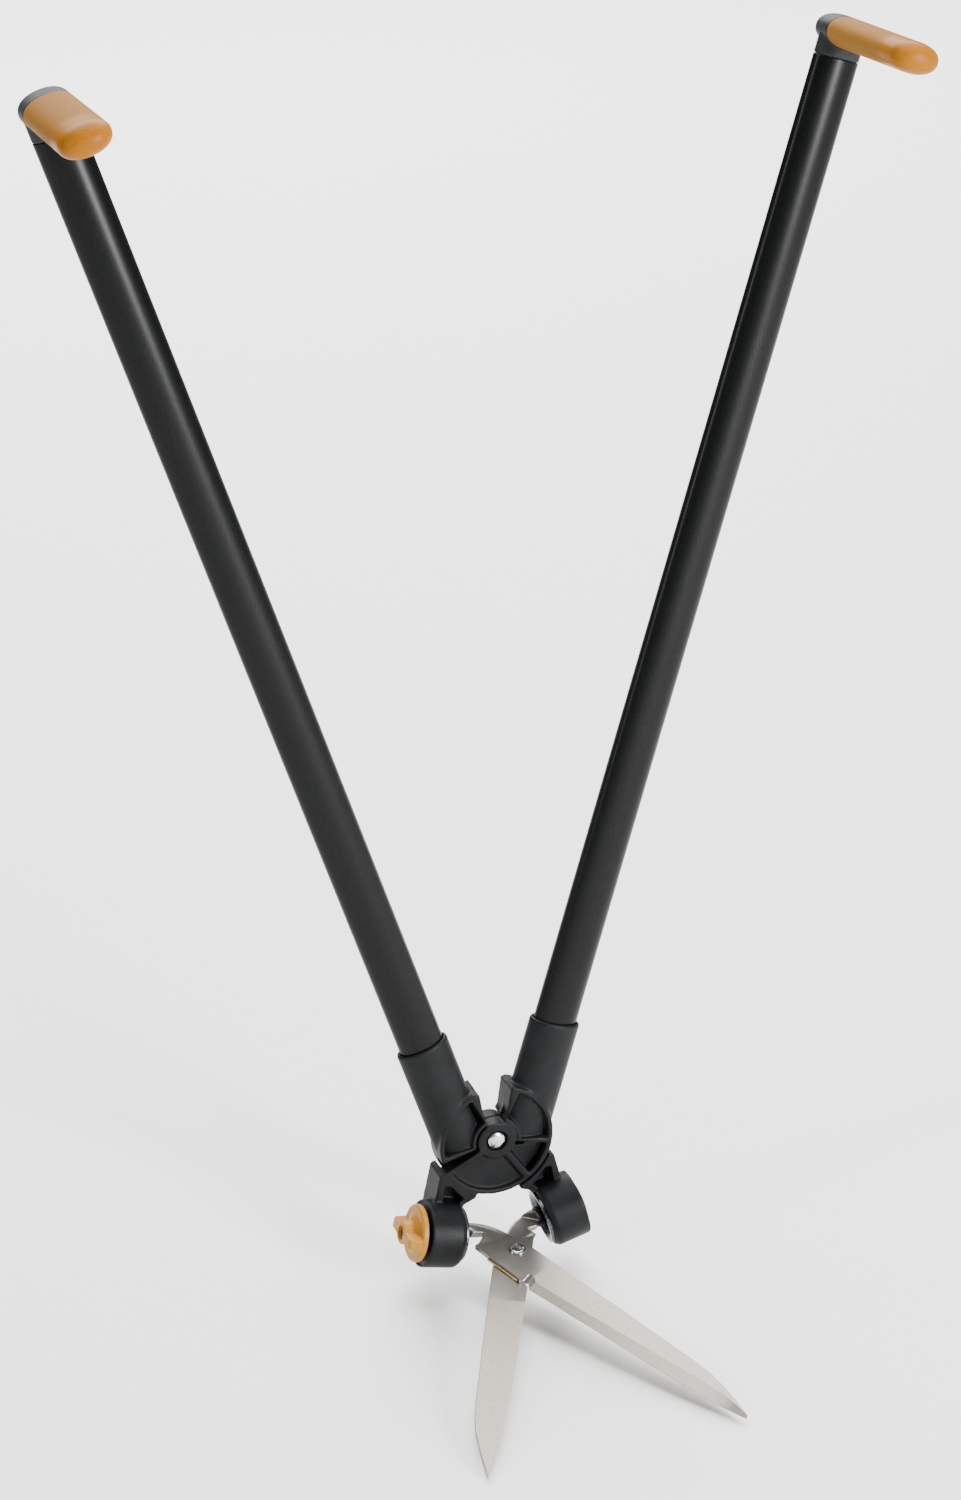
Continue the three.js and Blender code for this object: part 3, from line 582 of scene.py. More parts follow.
# %% Lever bodies
def lever_solids(front):
    near, far = (-DEPTH, -SPLIT) if front else (SPLIT, DEPTH)
    shallow = (near + SHALLOW, far) if front else (near, far - SHALLOW)
    deep = (far - WEB, far) if front else (near, near + WEB)
    top = polar(1, DISC_END)
    slope = top[1] / top[0]
    arm = [
        (top[0] * DISC * 0.6, top[1] * DISC * 0.6),
        (-ARM_OUTER, -ARM_OUTER * slope),
        (-ARM_OUTER + 2, pod_top - POD_RADIUS / 2),
        (pod_inner, pod_top - POD_RADIUS / 2),
        (pod_inner, pod_top - 1),
        (pod_inner + 7, pod_top + 4.5),
        (-2.8, -DISC + 0.5),
        (0, -DISC * 0.6),
    ]
    lug = [(-0.4, 37.8), (5.2, 37.8), (9.2, 10), (3.7, 10)]
    lip = [(12.5, -3.6), (22, -2.0), (34.6, 3.2), (33.8, 4.8), (22, -0.2), (12.5, -1.8)]
    socket = [
        oval(TUBE_HALF + wall, TUBE_HALF_DEPTH + wall, z, TUBE_OFFSET)
        for wall, z in [
            (SOCKET_WALL - 1.0, SOCKET_RIM),
            (SOCKET_WALL, SOCKET_RIM - 1.0),
            (SOCKET_WALL, SOCKET_FOOT),
        ]
    ]
    disc = [
        prism(sector(DISC - RIB, DISC, 0, DISC_END), near, far),
        prism(sector(HUB - 2, DISC - 1, SPOKE_AT, DISC_END), *shallow),
        prism(sector(HUB - 2, DISC - 1, 60, SPOKE_AT), *deep),
        prism(sector(HUB - 2, DISC - 1, 4, 60), *deep),
        prism(lip, near + 0.5, far),
        prism(spoke(HUB - 2, DISC - 1, SPOKE_AT, 4.8), near, far),
        prism(spoke(HUB - 2, DISC - 0.6, DISC_END, RIB, 0), near, far),
        post(HUB, near, far),
    ]
    head = [
        prism(lug, -DEPTH, DEPTH),
        prism(sector(DISC - RIB, DISC, 3, SECTOR_END), -DEPTH, DEPTH),
        prism(spoke(FREE, DISC - 0.4, SECTOR_END, RIB, 0), -DEPTH, DEPTH),
        prism(sector(FREE, DISC - 1, 6, SECTOR_END - 2), -1.5, 1.5),
        prism(sector(FREE, FREE + 2.2, 6, SECTOR_END - 1), -DEPTH, DEPTH),
        loft(socket),
    ]
    return head, disc, prism(arm, -DEPTH, DEPTH)


def sector_pocket():
    """The pocket inside the lug, the rim and the end rib, with the tube's curve left as its floor."""
    outline = sector(FREE + 2.4, DISC - RIB, 9.5, SECTOR_END - 7.0)
    cutter = build("cut", [prism(outline, -DEPTH - 1, -1.5)])
    floor = [oval(TUBE_HALF + 1.5, TUBE_HALF_DEPTH - 0.4, z, TUBE_OFFSET) for z in (0, 45)]
    carve(cutter, [build("cut", [loft(floor)])])
    return cutter


def pod_shell():
    profile = rounded(
        [
            (POD_BACK, ON_AXIS),
            (POD_BACK, 20.6),
            (POD_BACK - 0.01, POD_RADIUS),
            (POD_MOUTH - 3, POD_RADIUS),
            (POD_MOUTH, POD_RADIUS - 2),
            (POD_MOUTH, ON_AXIS),
        ],
        0.8,
    )
    return on_pod(turned(profile, 128))


def pod_bore():
    """The screw's hole, the swivel's bore and the wider seat of the retaining ring."""
    hole, bore, ring_seat = 3.3, 15.2, 18.8
    floor, step = -13.0, 3.9
    profile = [
        (POD_BACK - 1, ON_AXIS),
        (POD_BACK - 1, hole),
        (floor, hole),
        (floor, bore),
        (step, bore),
        (step, ring_seat),
        (POD_MOUTH + 2, ring_seat),
        (POD_MOUTH + 2, ON_AXIS),
    ]
    return on_pod(turned(profile))


def pod_end_recess():
    outer, inner = 20.9, 13.0
    low, high = POD_BACK - 1, POD_BACK + 1.3
    return on_pod(turned([(low, inner), (low, outer), (high, outer), (high, inner), (low, inner)]))


def arm_pocket():
    corner = polar(DISC + 3.5, DISC_END - 14)
    outline = [
        corner,
        (-ARM_OUTER + 5.0, corner[1] - 1),
        (-ARM_OUTER + 6.5, pod_top - 1),
        (pod_inner - 4, pod_top - 1),
        (pod_inner - 1.5, pod_top + 3.5),
    ]
    return prism(outline, -DEPTH - 1, -DEPTH + 9)


def make_lever(side):
    front, body_name = SIDES[side]["front"], SIDES[side]["body"]
    head, disc, arm = lever_solids(front)
    free_low, free_high = (-SPLIT, DEPTH + 2) if front else (-DEPTH - 2, SPLIT)

    upper = build("upper", head)
    mould(upper, 0.8, 0)
    carve(upper, [build("cut", [post(FREE, free_low, free_high)])])
    limb = build("limb", [arm])
    inside = build("cut", [post(DISC - RIB / 2, -DEPTH - 2, DEPTH + 2)])
    carve(limb, [build("cut", [post(DISC + 1, free_low, free_high)]), inside])

    lever = build(body_name + "_moulding", disc + [pod_shell()])
    for other in (upper, limb):
        step = lever.modifiers.new("add", "BOOLEAN")
        step.operation, step.solver, step.object = "UNION", "EXACT", other
        step.use_self = True
        apply_modifiers(lever)
        bpy.data.objects.remove(other)
    mould(lever, 0.7, 0)

    seat = [
        oval(TUBE_HALF + SEAT_GAP, TUBE_HALF_DEPTH + SEAT_GAP, z, TUBE_OFFSET)
        for z in (41.7, SOCKET_RIM + 1)
    ]
    pivot_hole = post(4.4, -DEPTH - 2, DEPTH + 2)
    # The bolt's head sinks into the front lever, and its nut into the rear one.
    recess = post(7.4, -DEPTH - 1, -DEPTH + 3) if front else post(8.4, DEPTH - 4, DEPTH + 1)
    cuts = [[pod_bore()], [loft(seat)], [arm_pocket()], [pivot_hole], [recess]]
    if front:
        cuts.append([pod_end_recess()])
    carve(lever, [build("cut", shapes) for shapes in cuts] + [sector_pocket()])
    mould(lever, 0.55, 2, 0.4)
    matrix = lever_place(front) @ Matrix.Scale(1 if front else -1, 4, (1, 0, 0))
    lever.data.transform(matrix)
    if not front:
        lever.data.flip_normals()
    dress(lever, nylon, body_name, [body_name], 60)


for side in SIDES:
    make_lever(side)

# %% [markdown]
# Handles. The tube is a plain oval, 30 by 17 mm, lofted up its outer wall and down its inner one. The
# elbow cap on top is an oval neck that runs into a barrel lying along Y. The grip sleeve continues the
# barrel's section forwards, to -Y, and ends in a soft dome.

# %% Handle dimensions, in millimetres
TUBE_FOOT, TUBE_TOP, TUBE_WALL = 42.0, 724.0, 1.6
GRIP_AXIS = TUBE_TOP + 16
GRIP_HALF, GRIP_HALF_HEIGHT = 15.6, 9.4
GRIP_START, GRIP_END, CAP_BACK = -8.5, -103.5, 15.0
GRIP_DOME, CAP_DOME = 13.0, 9.5
SQUARENESS = 2.2  # 2 is an ellipse


def grip_section(y, share=1.0):
    """An oval a little squarer than an ellipse, because a hand likes a flat to push on."""
    ring = []
    for a in full_turn(FACETS):
        c, s = math.cos(a), math.sin(a)
        x = math.copysign(abs(c) ** (2 / SQUARENESS), c) * GRIP_HALF * share
        z = math.copysign(abs(s) ** (2 / SQUARENESS), s) * GRIP_HALF_HEIGHT * share
        ring.append((TUBE_OFFSET + x, y, GRIP_AXIS + z))
    return ring


def domed_end(y, direction, radius, steps=12):
    rings = []
    for i in range(steps + 1):
        a = math.pi / 2 * i / steps
        share = max(math.cos(a) ** 0.75, 0.02)
        rings.append(grip_section(y - direction * radius * (1 - math.sin(a)), share))
    return rings


def make_handle(side):
    info = SIDES[side]
    place = lever_place(info["front"])
    mirror = not info["front"]

    walls = []
    for half, depth, low, high in [
        (TUBE_HALF, TUBE_HALF_DEPTH, TUBE_FOOT, TUBE_TOP),
        (TUBE_HALF - TUBE_WALL, TUBE_HALF_DEPTH - TUBE_WALL, TUBE_TOP, TUBE_FOOT),
    ]:
        step = 0.25 if high > low else -0.25
        ends = [low, low + step, high - step, high]
        inset = [0.25, 0, 0, 0.25] if half == TUBE_HALF else [0, 0, 0, 0]
        walls += [oval(half - d, depth - d, z, TUBE_OFFSET, 160) for z, d in zip(ends, inset)]
    tube = build(side + "_handle_tube", [loft(walls, closed=True)], place, mirror)
    dress(tube, anodised, info["body"], [side + "_tube"], 30)

    barrel = [grip_section(GRIP_START + 0.2)] + domed_end(CAP_BACK, 1, CAP_DOME)
    neck = [
        oval(TUBE_HALF, TUBE_HALF_DEPTH, TUBE_TOP + 0.3, TUBE_OFFSET),
        oval(TUBE_HALF, TUBE_HALF_DEPTH, GRIP_AXIS, TUBE_OFFSET),
    ]
    cap = build(side + "_elbow_cap", [loft(barrel), loft(neck)], place, mirror)
    mould(cap, 0.6, 6, 0.5)
    dress(cap, cap_nylon, info["body"], [side + "_grip_cap"], 60)

    sleeve_rings = domed_end(GRIP_END, -1, GRIP_DOME, 16)[::-1]
    dome_end = GRIP_END + GRIP_DOME
    straight = GRIP_START - GRIP_END - GRIP_DOME - 1
    sleeve_rings += [grip_section(dome_end + straight * t / 6) for t in range(1, 7)]
    sleeve_rings += [grip_section(GRIP_START - 0.3), grip_section(GRIP_START - 0.05, 0.97)]
    sleeve = build(side + "_sleeve", [loft(sleeve_rings)], place, mirror)
    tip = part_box(side + "_grip_sleeve")[0][1]
    finish = make_grip_finish("orange_rubber_" + side, tip)
    dress(sleeve, finish, info["body"], [side + "_grip_sleeve"], 60)

    head = rounded([(-10.6, ON_AXIS), (-10.6, 2.2), (10.6, 2.2), (10.6, ON_AXIS)], 0.4)
    pin = turned(head, 40)
    pin.transform(Matrix.Translation((TUBE_OFFSET, 0, 66)) @ Matrix.Rotation(90 * DEG, 4, "Z"))
    rivet = build(side + "_pin", [pin], place, mirror)
    dress(rivet, spring_steel, info["body"], [side + "_tube_pin"])


for side in SIDES:
    make_handle(side)

# %% [markdown]
# The main pivot bolt has a low domed head in a counterbore in front, and its nut sits in a deeper one
# behind. Both are turned from short profiles, the head's with a crisp rim below its dome.

# %% Pivot bolt and nut
pivot_place = Matrix.Translation((0, -HEAD_BACK * MM, 0)) @ Matrix.Rotation(90 * DEG, 4, "Z")


def dome(radius, low, high, steps=10):
    """Profile points of a low dome from its rim at one X to its crown at another."""
    turn = [math.pi / 2 * i / steps for i in range(steps + 1)]
    return [(low + (high - low) * math.sin(a), max(radius * math.cos(a), ON_AXIS)) for a in turn]


pivot_profile = [(9.5, ON_AXIS), (9.5, 4.0), (-8.3, 4.0), (-8.3, 6.2), (-9.2, 6.2)] + dome(6.1, -9.3, -11.4)
bolt = build("pivot_bolt_turned", [turned(pivot_profile)], pivot_place)
dress(bolt, zinc, "front_lever", ["pivot_bolt"])
nut_profile = rounded([(7.4, ON_AXIS), (7.4, 7.0), (12.0, 7.0), (12.0, ON_AXIS)], 0.7)
nut = build("pivot_nut_turned", [turned(nut_profile)], pivot_place)
dress(nut, zinc, "front_lever", ["pivot_nut"])

# %% [markdown]
# The wing knob: a round flange, a cone that rises to a tall hub, and two wings across it. Each wing is
# lofted: it keeps the hub's height most of the way out and then drops steeply. The knob is fused and
# relaxed, and the socket screw sits inside the hub.

# %% Wing knob, washer and clamp screw
KNOB_BASE, KNOB_TOP = -20.6, -33.5
WING_STATIONS = [  # reach, share of the full height, half width
    (0.0, 1.0, 4.0),
    (15.0, 1.0, 3.8),
    (17.5, 0.86, 3.6),
    (18.0, 0.5, 3.4),
]
scaled = Matrix.Scale(MM, 4)
knob_place = lever_place(True) @ scaled @ pod_place @ scaled.inverted()


def wing(direction):
    """A fin from the flange to the hub's top, with a steep outer end."""
    foot = KNOB_BASE - 3
    rings = []
    for reach, share, half in WING_STATIONS:
        top = foot + (KNOB_TOP - foot) * share
        y = direction * reach
        rings.append([(foot, y, -half), (top, y, -half + 0.5), (top, y, half - 0.5), (foot, y, half)])
    return loft(rings)


knob_profile = rounded(
    [
        (KNOB_BASE, ON_AXIS),
        (KNOB_BASE, 19.0),
        (KNOB_BASE - 3.2, 19.0),
        (KNOB_BASE - 4.0, 17.6),
        (KNOB_BASE - 4.0, 13.0),
        (KNOB_BASE - 6.5, 8.6),
        (KNOB_TOP + 0.6, 7.4),
        (KNOB_TOP, 6.9),
        (KNOB_TOP, ON_AXIS),
    ],
    0.4,
)
knob = build("wing_knob_moulding", [turned(knob_profile), wing(1), wing(-1)])
mould(knob, 0.4, 0)
hub_top, hub_floor, hub_bore = KNOB_TOP - 1, KNOB_TOP + 4.3, 4.9
hub_profile = [(hub_top, ON_AXIS), (hub_top, hub_bore), (hub_floor, hub_bore), (hub_floor, ON_AXIS)]
carve(knob, [build("cut", [turned(hub_profile, 64)])])
mould(knob, 0.33, 2, 0.5)
knob.data.transform(knob_place)
dress(knob, orange, "wing_knob", ["wing_knob"], 60)

screw_profile = [
    (-29.4, ON_AXIS),
    (-29.4, 4.2),
    (-31.2, 4.2),
    (-31.5, 3.9),
    (-31.5, 2.3),
    (-29.8, 2.2),
    (-29.8, ON_AXIS),
]
screw = build("clamp_screw_head", [turned(screw_profile, 60)], knob_place)
dress(screw, zinc, "wing_knob", ["clamp_screw"], 30)
washer_profile = [(-19.3, 3.3), (-19.3, 12.0), (-20.3, 12.0), (-20.3, 3.3), (-19.3, 3.3)]
washer = build("knob_washer_ring", [turned(washer_profile)], knob_place)
dress(washer, spring_steel, "front_lever", ["knob_washer"], 30)

# %% [markdown]
# Inside each pod sit a steel ring and a nylon cup, one inside the other about the swivel's centre. A
# retaining ring in the mouth holds them in. It is the piece that shows, so its corners are rounded.


# %% Swivel parts
def arc(radius, start_x, end_x, steps=12):
    first, last = math.acos(start_x / radius), math.acos(end_x / radius)
    turn = [first + (last - first) * i / steps for i in range(steps + 1)]
    return [(radius * math.cos(a), radius * math.sin(a)) for a in turn]


def make_swivel(side):
    mirror = side == "right"
    hinge = joints["left_yaw" if side == "left" else "right_yaw"]
    place = Matrix.Translation(Vector(hinge["pos_m"]))
    for name, outer, inner, low, high, material, slot in [
        ("swivel_ring", 14.8, 12.3, -8.0, -1.0, spring_steel, "steel"),
        ("swivel_cup", 12.0, 9.3, -7.5, 1.5, nylon, "nylon"),
    ]:
        profile = arc(outer, low, high) + arc(inner, high, low)
        piece = build(side + "_" + name + "_turned", [turned(profile + profile[:1])], place, mirror)
        dress(piece, material, side + "_" + name, [side + "_" + name], 30)

    lever = lever_place(side == "left") @ Matrix.Scale(-1 if mirror else 1, 4, (1, 0, 0))
    ring_profile = rounded(
        [(4.3, 16), (4.3, 18.5), (8.0, 18.5), (8.0, 16.4), (5.2, 14.0), (4.3, 14.0), (4.3, 16)], 0.5
    )
    retainer = build(side + "_retainer", [on_pod(turned(ring_profile + ring_profile[:1]))])
    retainer.data.transform(lever)
    if mirror:
        retainer.data.flip_normals()
    body = "front_lever" if side == "left" else "rear_lever"
    dress(retainer, spring_steel, body, [side + "_retaining_ring"], 30)


for side in ("left", "right"):
    make_swivel(side)

cap_stem = [(-13.0, ON_AXIS), (-13.0, 3.0), (-19.3, 3.0)]
cap_profile = cap_stem + [(-19.3, 15.0), (-19.9, 15.0)] + dome(14.6, -20.0, -22.0)
pod_cap = build("pod_cap_dome", [on_pod(turned(cap_profile))])
pod_cap.data.transform(lever_place(False) @ Matrix.Scale(-1, 4, (1, 0, 0)))
pod_cap.data.flip_normals()
dress(pod_cap, nylon, "rear_lever", ["right_pod_cap"], 40)

# %% [markdown]
# The blades. Their outlines are given by points along and across each blade, measured from the pivot.
# The edge side is ground to a bevel, so the plate is made as a grid of rows between the spine and the
# edge: full thickness as far as the bevel line, then down to a thin edge.

# %% Blade frames and outlines
pivot_point = Vector(joints["rear_blade_swing"]["pos_m"])
blade_up = Vector(joints["rear_blade_swing"]["axis"]).normalized()
blade_right = Vector((1, 0, 0))
blade_back = blade_up.cross(blade_right)
blade_axes = Matrix((blade_right, blade_back, blade_up)).transposed()
blade_place = Matrix.Translation(pivot_point) @ blade_axes.to_4x4()
PLATE_FROM, PLATE, EDGE = 0.15, 3.4, 0.5  # half the gap between the plates, and two thicknesses
ROW = 4.0  # spacing of the rows along a blade

FRONT_BLADE = {
    "side": 1,
    "lean": 23.3,
    "pale_from": 26,
    "base": [(-9, -9.3), (-19, 17.8)],
    "spine": [
        (-9, -9.3), (30, -9.8), (90, -10.8), (150, -11.4), (165, -10.7), (180, -8), (193, -4.6),
        (205.6, -0.4),
    ],
    "edge": [
        (-22, 17.6), (22, 18.8), (23, 15.2), (27, 15.2), (31, 18.6), (57, 16.3), (115, 11.6),
        (174, 6.5), (190, 3.6), (206, 0),
    ],
    "bevel": [(22.5, 15.0), (27, 13.8), (85, 7.7), (164, -1.2), (198, -3.6)],
}
REAR_BLADE = {
    "side": -1,
    "lean": 25.1,
    "pale_from": 46,
    "base": [(-9, -12.5), (-20, 9.6)],
    "spine": [
        (-9, -12.5), (15, -14.7), (78, -14.2), (140, -13.6), (154, -13), (169, -10.8), (186, -6.2),
        (203.1, -0.5),
    ],
    "edge": [
        (-20, 9.6), (24, 9.8), (28, 7.5), (32, 9.6), (75, 9.0), (118, 8.3), (164, 5.4), (199, 1.4),
        (203.5, 0),
    ],
    "bevel": [(27, 6.4), (32, 5.2), (85, 3.4), (164, -0.5), (196, -0.8)],
}


def mix(a, b, t):
    return a + (b - a) * t


def blade_point(blade, along, across, height):
    lean = blade["lean"] * DEG
    x = along * math.sin(lean) - across * math.cos(lean)
    return (blade["side"] * x, -along * math.cos(lean) - across * math.sin(lean), height)


def across_at(line, along):
    for (a0, b0), (a1, b1) in zip(line, line[1:]):
        if a0 <= along <= a1:
            return mix(b0, b1, (along - a0) / (a1 - a0))
    return line[0][1] if along < line[0][0] else line[-1][1]


def blade_stations(blade):
    """Pairs of distances along the spine and along the edge: a slanted base, then straight rows."""
    first = (blade["spine"][0][0], blade["edge"][0][0])
    straight = {a for line in ("spine", "edge", "bevel") for a, _ in blade[line] if a > 14}
    last = min(blade["spine"][-1][0], blade["edge"][-1][0])
    straight |= {16 + ROW * i for i in range(60) if 16 + ROW * i < last - 1}
    fan = [(mix(first[0], 15, t), mix(first[1], 15, t)) for t in (0, 0.25, 0.5, 0.75, 1)]
    return fan + [(a, a) for a in sorted(straight) if a <= last]


def blade_plate(blade, low, high):
    """Each row goes round the section: spine, bevel line, edge and underside."""
    rings = []
    for spine_along, edge_along in blade_stations(blade):
        spine, edge = across_at(blade["spine"], spine_along), across_at(blade["edge"], edge_along)
        width = edge - spine
        chamfer = min(0.4, width * 0.2)
        bevelled = edge_along >= blade["bevel"][0][0]
        line = across_at(blade["bevel"], edge_along) if bevelled else edge - 0.3
        line = max(min(line, edge - width * 0.2 if bevelled else edge - 0.3), spine + width * 0.35)
        thin = EDGE if bevelled else high - low - 0.3
        share = (line - spine) / width
        back = [(0, low), (0, high - chamfer), (chamfer / width, high)]
        if blade["side"] > 0:
            corners = back + [(share, high), (1, low + thin), (1, low)]
        else:
            corners = back + [(1, high), (1, high - thin), (share, low)]
        ring = []
        for t, height in corners:
            ring.append(blade_point(blade, mix(spine_along, edge_along, t), mix(spine, edge, t), height))
        rings.append(ring)
    return loft(rings)


print("plates are", PLATE, "mm thick, and their edges", EDGE, "mm")

# %% [markdown]
# Behind the plate each blade has a forged tang: a round shank out of the ball, which swells, bends
# towards the pivot and flattens. It is lofted from ovals along a smooth bend. Then it is trimmed to its
# own side of the cutting plane near the pivot, and cleared where the pods turn, so that the two tangs
# pass each other and the pods when the blades close.

# %% Tangs
SHANK_RADIUS, NECK_RADIUS, SHANK_LEAN, SHANK_START, LINK_DROP = 6.0, 4.0, 10.0, 11.7, 33.0
TANG_ROUND = 11.2  # how much of the tang next to the swivel keeps its full round
SWEEP_GAP, SWEEP_REACH, CORRIDOR = 1.3, 30, 7
swivel_out = abs(joints["right_yaw"]["pos_m"][0]) / MM


def tang_section(centre, across, half_across, half_thick, height):
    ring = []
    for a in full_turn(48):
        shift = half_across * math.cos(a)
        x, y = centre.x + across.x * shift, centre.y + across.y * shift
        ring.append((x, y, height + half_thick * math.sin(a)))
    return ring


def tang(blade, low, high):
    side, base = blade["side"], blade["base"]
    swivel = Vector((-side * swivel_out, LINK_DROP))
    run = Vector((side * math.cos(SHANK_LEAN * DEG), -math.sin(SHANK_LEAN * DEG)))
    spine = Vector(blade_point(blade, *base[0], 0)[:2])
    edge = Vector(blade_point(blade, *base[1], 0)[:2])
    first_across = Vector((-side * math.sin(SHANK_LEAN * DEG), -math.cos(SHANK_LEAN * DEG)))
    last_across = (edge - spine).normalized()
    inward = Vector((side * math.sin(blade["lean"] * DEG), -math.cos(blade["lean"] * DEG)))
    start, middle = swivel + run * (SHANK_START + 1), swivel + run * (SHANK_START + 6)
    end = (spine + edge) / 2 + inward * 2.5
    collar = [
        (4, NECK_RADIUS),
        (SHANK_START, NECK_RADIUS),
        (SHANK_START + 0.3, 5.4),
        (SHANK_START + 0.8, SHANK_RADIUS),
    ]
    rings = [tang_section(swivel + run * away, first_across, r, r, 0) for away, r in collar]
    steps = 20
    for i in range(steps + 1):
        t = i / steps
        ease = t * t * (3 - 2 * t)
        centre = start * (1 - t) ** 2 + middle * 2 * t * (1 - t) + end * t**2
        across = first_across.lerp(last_across, ease).normalized()
        half_across = mix(SHANK_RADIUS, (edge - spine).length / 2 - 0.2, ease)
        half_thick = mix(SHANK_RADIUS, (high - low) / 2 - 0.05, ease)
        rings.append(tang_section(centre, across, half_across, half_thick, (low + high) / 2 * ease))
    return loft(rings)


def drum(radius, low, high):
    return loft([oval(radius, radius, z) for z in (low, high)])


def pod_sweep(side):
    """The space a pod's rim passes through round its ball, less a corridor for the shank."""
    swivel = Matrix.Translation((-side * swivel_out, LINK_DROP, 0))
    sweep = drum(POD_RADIUS + SWEEP_GAP, -SWEEP_REACH, SWEEP_REACH)
    sweep.transform(swivel)
    far = SWEEP_REACH + 1
    corridor = prism([(0, -far), (far, -far), (far, far), (0, far)], -CORRIDOR, CORRIDOR)
    corridor.transform(Matrix.Rotation(-SHANK_LEAN * DEG, 4, "Z"))
    if side < 0:
        corridor.transform(Matrix.Scale(-1, 4, (1, 0, 0)))
        bmesh.ops.reverse_faces(corridor, faces=corridor.faces)
    corridor.transform(swivel)
    swept = build("cut", [sweep])
    carve(swept, [build("cut", [corridor])])
    return swept


def make_blade(name, blade):
    """A forged tang and a ground plate, two pieces that stand for the one CAD blade together."""
    side = blade["side"]
    low, high = (PLATE_FROM, PLATE_FROM + PLATE) if side > 0 else (-PLATE_FROM - PLATE, -PLATE_FROM)
    blank = build(name + "_forging", [tang(blade, low, high)])
    passed = math.hypot(swivel_out, LINK_DROP) - TANG_ROUND
    beyond = drum(passed, -SWEEP_REACH, low) if side > 0 else drum(passed, high, SWEEP_REACH)
    carve(blank, [build("cut", [beyond]), pod_sweep(side)])
    mould(blank, 0.5, 6, 0.5)
    blank.data.transform(blade_place)

    plate = build(name + "_plate", [blade_plate(blade, low, high)])
    carve(plate, [build("cut", [drum(3.9, -SWEEP_REACH, SWEEP_REACH)]), pod_sweep(side)])
    plate.data.transform(blade_place)
    along = blade_place.to_3x3() @ Vector(blade_point(blade, 1, 0, 0))
    steel = make_blade_steel("ground_steel_" + name, pivot_point, along, blade["pale_from"])
    dress(plate, steel, name, [name], 12)
    dress(blank, steel, name, [name], 50)


print("swivels are", round(2 * swivel_out, 1), "mm apart at rest")

# %% [markdown]
# The front blade is the upper one: it keeps above the cutting plane, and the rear one keeps below it.

# %% Both blades
make_blade("front_blade", FRONT_BLADE)
make_blade("rear_blade", REAR_BLADE)

# %% [markdown]
# The blade bolt, its nut, the bronze strip under the front blade's heel and the two balls complete
# the cutting end. The right ball is smaller than the left: the linkage is open there, and the ball
# wanders a little in its cup.

# %% Blade bolt, nut, strip and balls
seat = PLATE_FROM + PLATE + 0.1
head_top = seat + 1.7
blade_bolt_profile = rounded(
    [
        (-6.5, ON_AXIS),
        (-6.5, 3.6),
        (seat, 3.6),
        (seat, 5.6),
        (seat + 0.8, 5.6),
        (head_top, 4.1),
        (head_top, ON_AXIS),
    ],
    0.3,
)
spun = Matrix.Rotation(-90 * DEG, 4, "Y")
blade_bolt = build("blade_bolt_turned", [turned(blade_bolt_profile)], blade_place @ spun)
dress(blade_bolt, zinc, "front_blade", ["blade_bolt"], 30)
hexagon = [oval(6.4, 6.4, z, sides=6) for z in (-7.6, -3.9)]
blade_nut = build("blade_nut_hex", [loft(hexagon)], blade_place)
soften_edges(blade_nut, 0.5)
dress(blade_nut, zinc, "rear_blade", ["blade_nut"], 30)

STRIP_THICKNESS = 1.1
strip_corners = [(-8, 12.2), (20, 12.2), (20, 19.4), (-8, 19.4)]
strip_rings = [
    [blade_point(FRONT_BLADE, along, across, z) for along, across in strip_corners]
    for z in (PLATE_FROM, PLATE_FROM + STRIP_THICKNESS)
]
strip = build("bronze_strip", [loft(strip_rings)], blade_place)
soften_edges(strip, 0.15)
dress(strip, bronze, "front_blade", ["glide_strip"], 30)

BALL_SLEEVE, BALL_COLLAR, BALL_BORE = 5.3, 7.0, 4.3
for side, radius, body in [("left", 9.0, "front_blade"), ("right", 7.4, "rear_blade")]:
    profile = arc(radius, -radius * 0.999, math.sqrt(radius**2 - BALL_SLEEVE**2))
    collar = [(9.0, BALL_SLEEVE), (9.0, BALL_COLLAR), (11.4, BALL_COLLAR), (11.4, BALL_BORE)]
    profile += rounded(collar, 0.5) + [(2.0, BALL_BORE), (2.0, ON_AXIS)]
    ball = turned(profile)
    ball.transform(Matrix.Rotation(-SHANK_LEAN * DEG, 4, "Z"))
    ball.transform(Matrix.Translation((-swivel_out, LINK_DROP, 0)))
    piece = build(side + "_ball_moulding", [ball], blade_place if side == "left" else Matrix())
    if side == "right":
        piece.data.transform(Matrix.Scale(-1, 4, (1, 0, 0)))
        piece.data.transform(blade_place)
        piece.data.flip_normals()
    dress(piece, nylon, body, [side + "_ball"], 30)

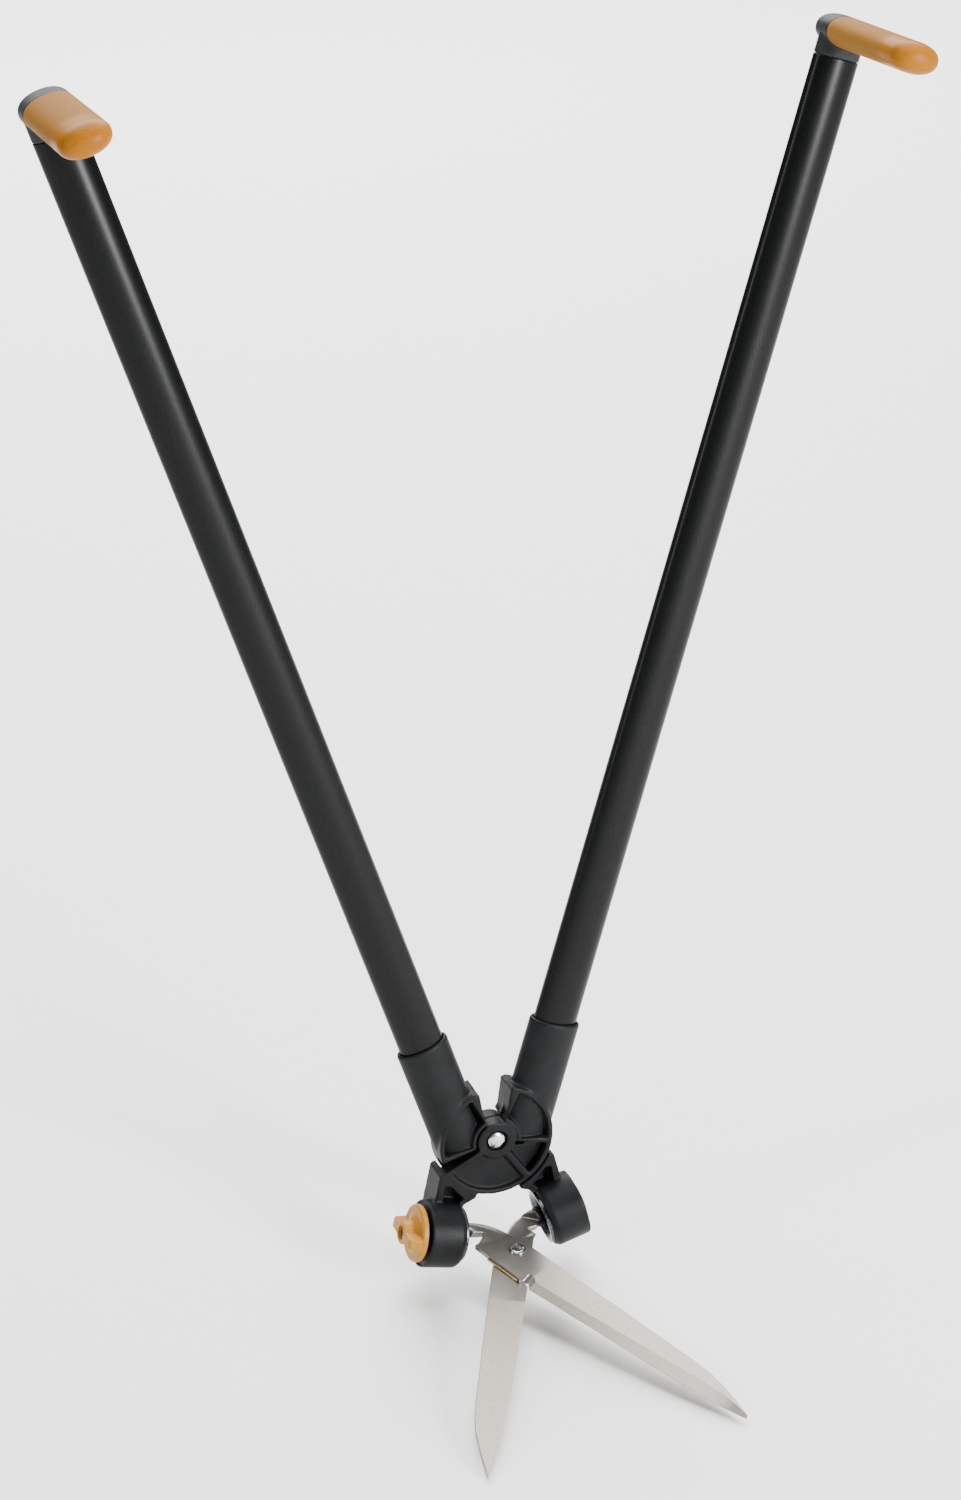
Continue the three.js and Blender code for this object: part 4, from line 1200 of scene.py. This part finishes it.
# %% [markdown]
# The studio: a pale floor just below the lowest point of the tool, and four soft lights. A tall strip
# at the right draws the long reflections on the tubes, one at the left finds their edges, and two
# overhead boxes light the paper near and far. The surround stays dim, because black parts show what
# they reflect.

# %% Floor and light
floor_mesh = bpy.data.meshes.new("studio_floor")
span = 12.0
level = cad_bounds[0][2] - 2 * MM
floor_corners = [(x * span, y * span, level) for x, y in ((-1, -1), (1, -1), (1, 1), (-1, 1))]
floor_mesh.from_pydata(floor_corners, [], [(0, 1, 2, 3)])
floor = bpy.data.objects.new("studio_floor", floor_mesh)
bpy.context.scene.collection.objects.link(floor)
paper = {"Roughness": 0.9, "Base Color": linear("#f4f4f2")}
floor_mesh.materials.append(new_material("matt_paper", **paper)[0])

world = bpy.data.worlds.new("studio")
bpy.context.scene.world = world
world.use_nodes = True
surround = world.node_tree.nodes["Background"].inputs
surround["Color"].default_value, surround["Strength"].default_value = linear("#f2f4f6"), 0.2

focus = Vector((0, -0.03, 0.3))


def soft_light(name, place, size, power, target=focus):
    light = bpy.data.lights.new(name, "AREA")
    light.shape, light.size, light.size_y, light.energy = "RECTANGLE", size[0], size[1], power
    lamp = bpy.data.objects.new(name, light)
    aim = (target - Vector(place)).to_track_quat("-Z", "Y").to_matrix().to_4x4()
    lamp.matrix_world = Matrix.Translation(place) @ aim
    bpy.context.scene.collection.objects.link(lamp)


soft_light("right_strip", (1.15, -2.3, 0.8), (0.36, 1.1), 150)
soft_light("left_strip", (-2.4, -0.5, 1.2), (0.3, 1.8), 30)
soft_light("top_softbox", (0.4, 0.3, 2.6), (2.2, 2.2), 135, Vector((0.1, 0.2, 0)))
soft_light("back_softbox", (1.0, 4.2, 3.2), (5.0, 4.0), 700, Vector((1.0, 4.2, 0)))
print("four lights, floor at", round(level, 4), "m")

# %% [markdown]
# Last, the size of the CAD that the finished surfaces stand for is printed. The finished surfaces
# should differ from it by a fraction of a millimetre.

# %% CAD size
print("cad   ", [[round(v, 4) for v in corner] for corner in cad_bounds])
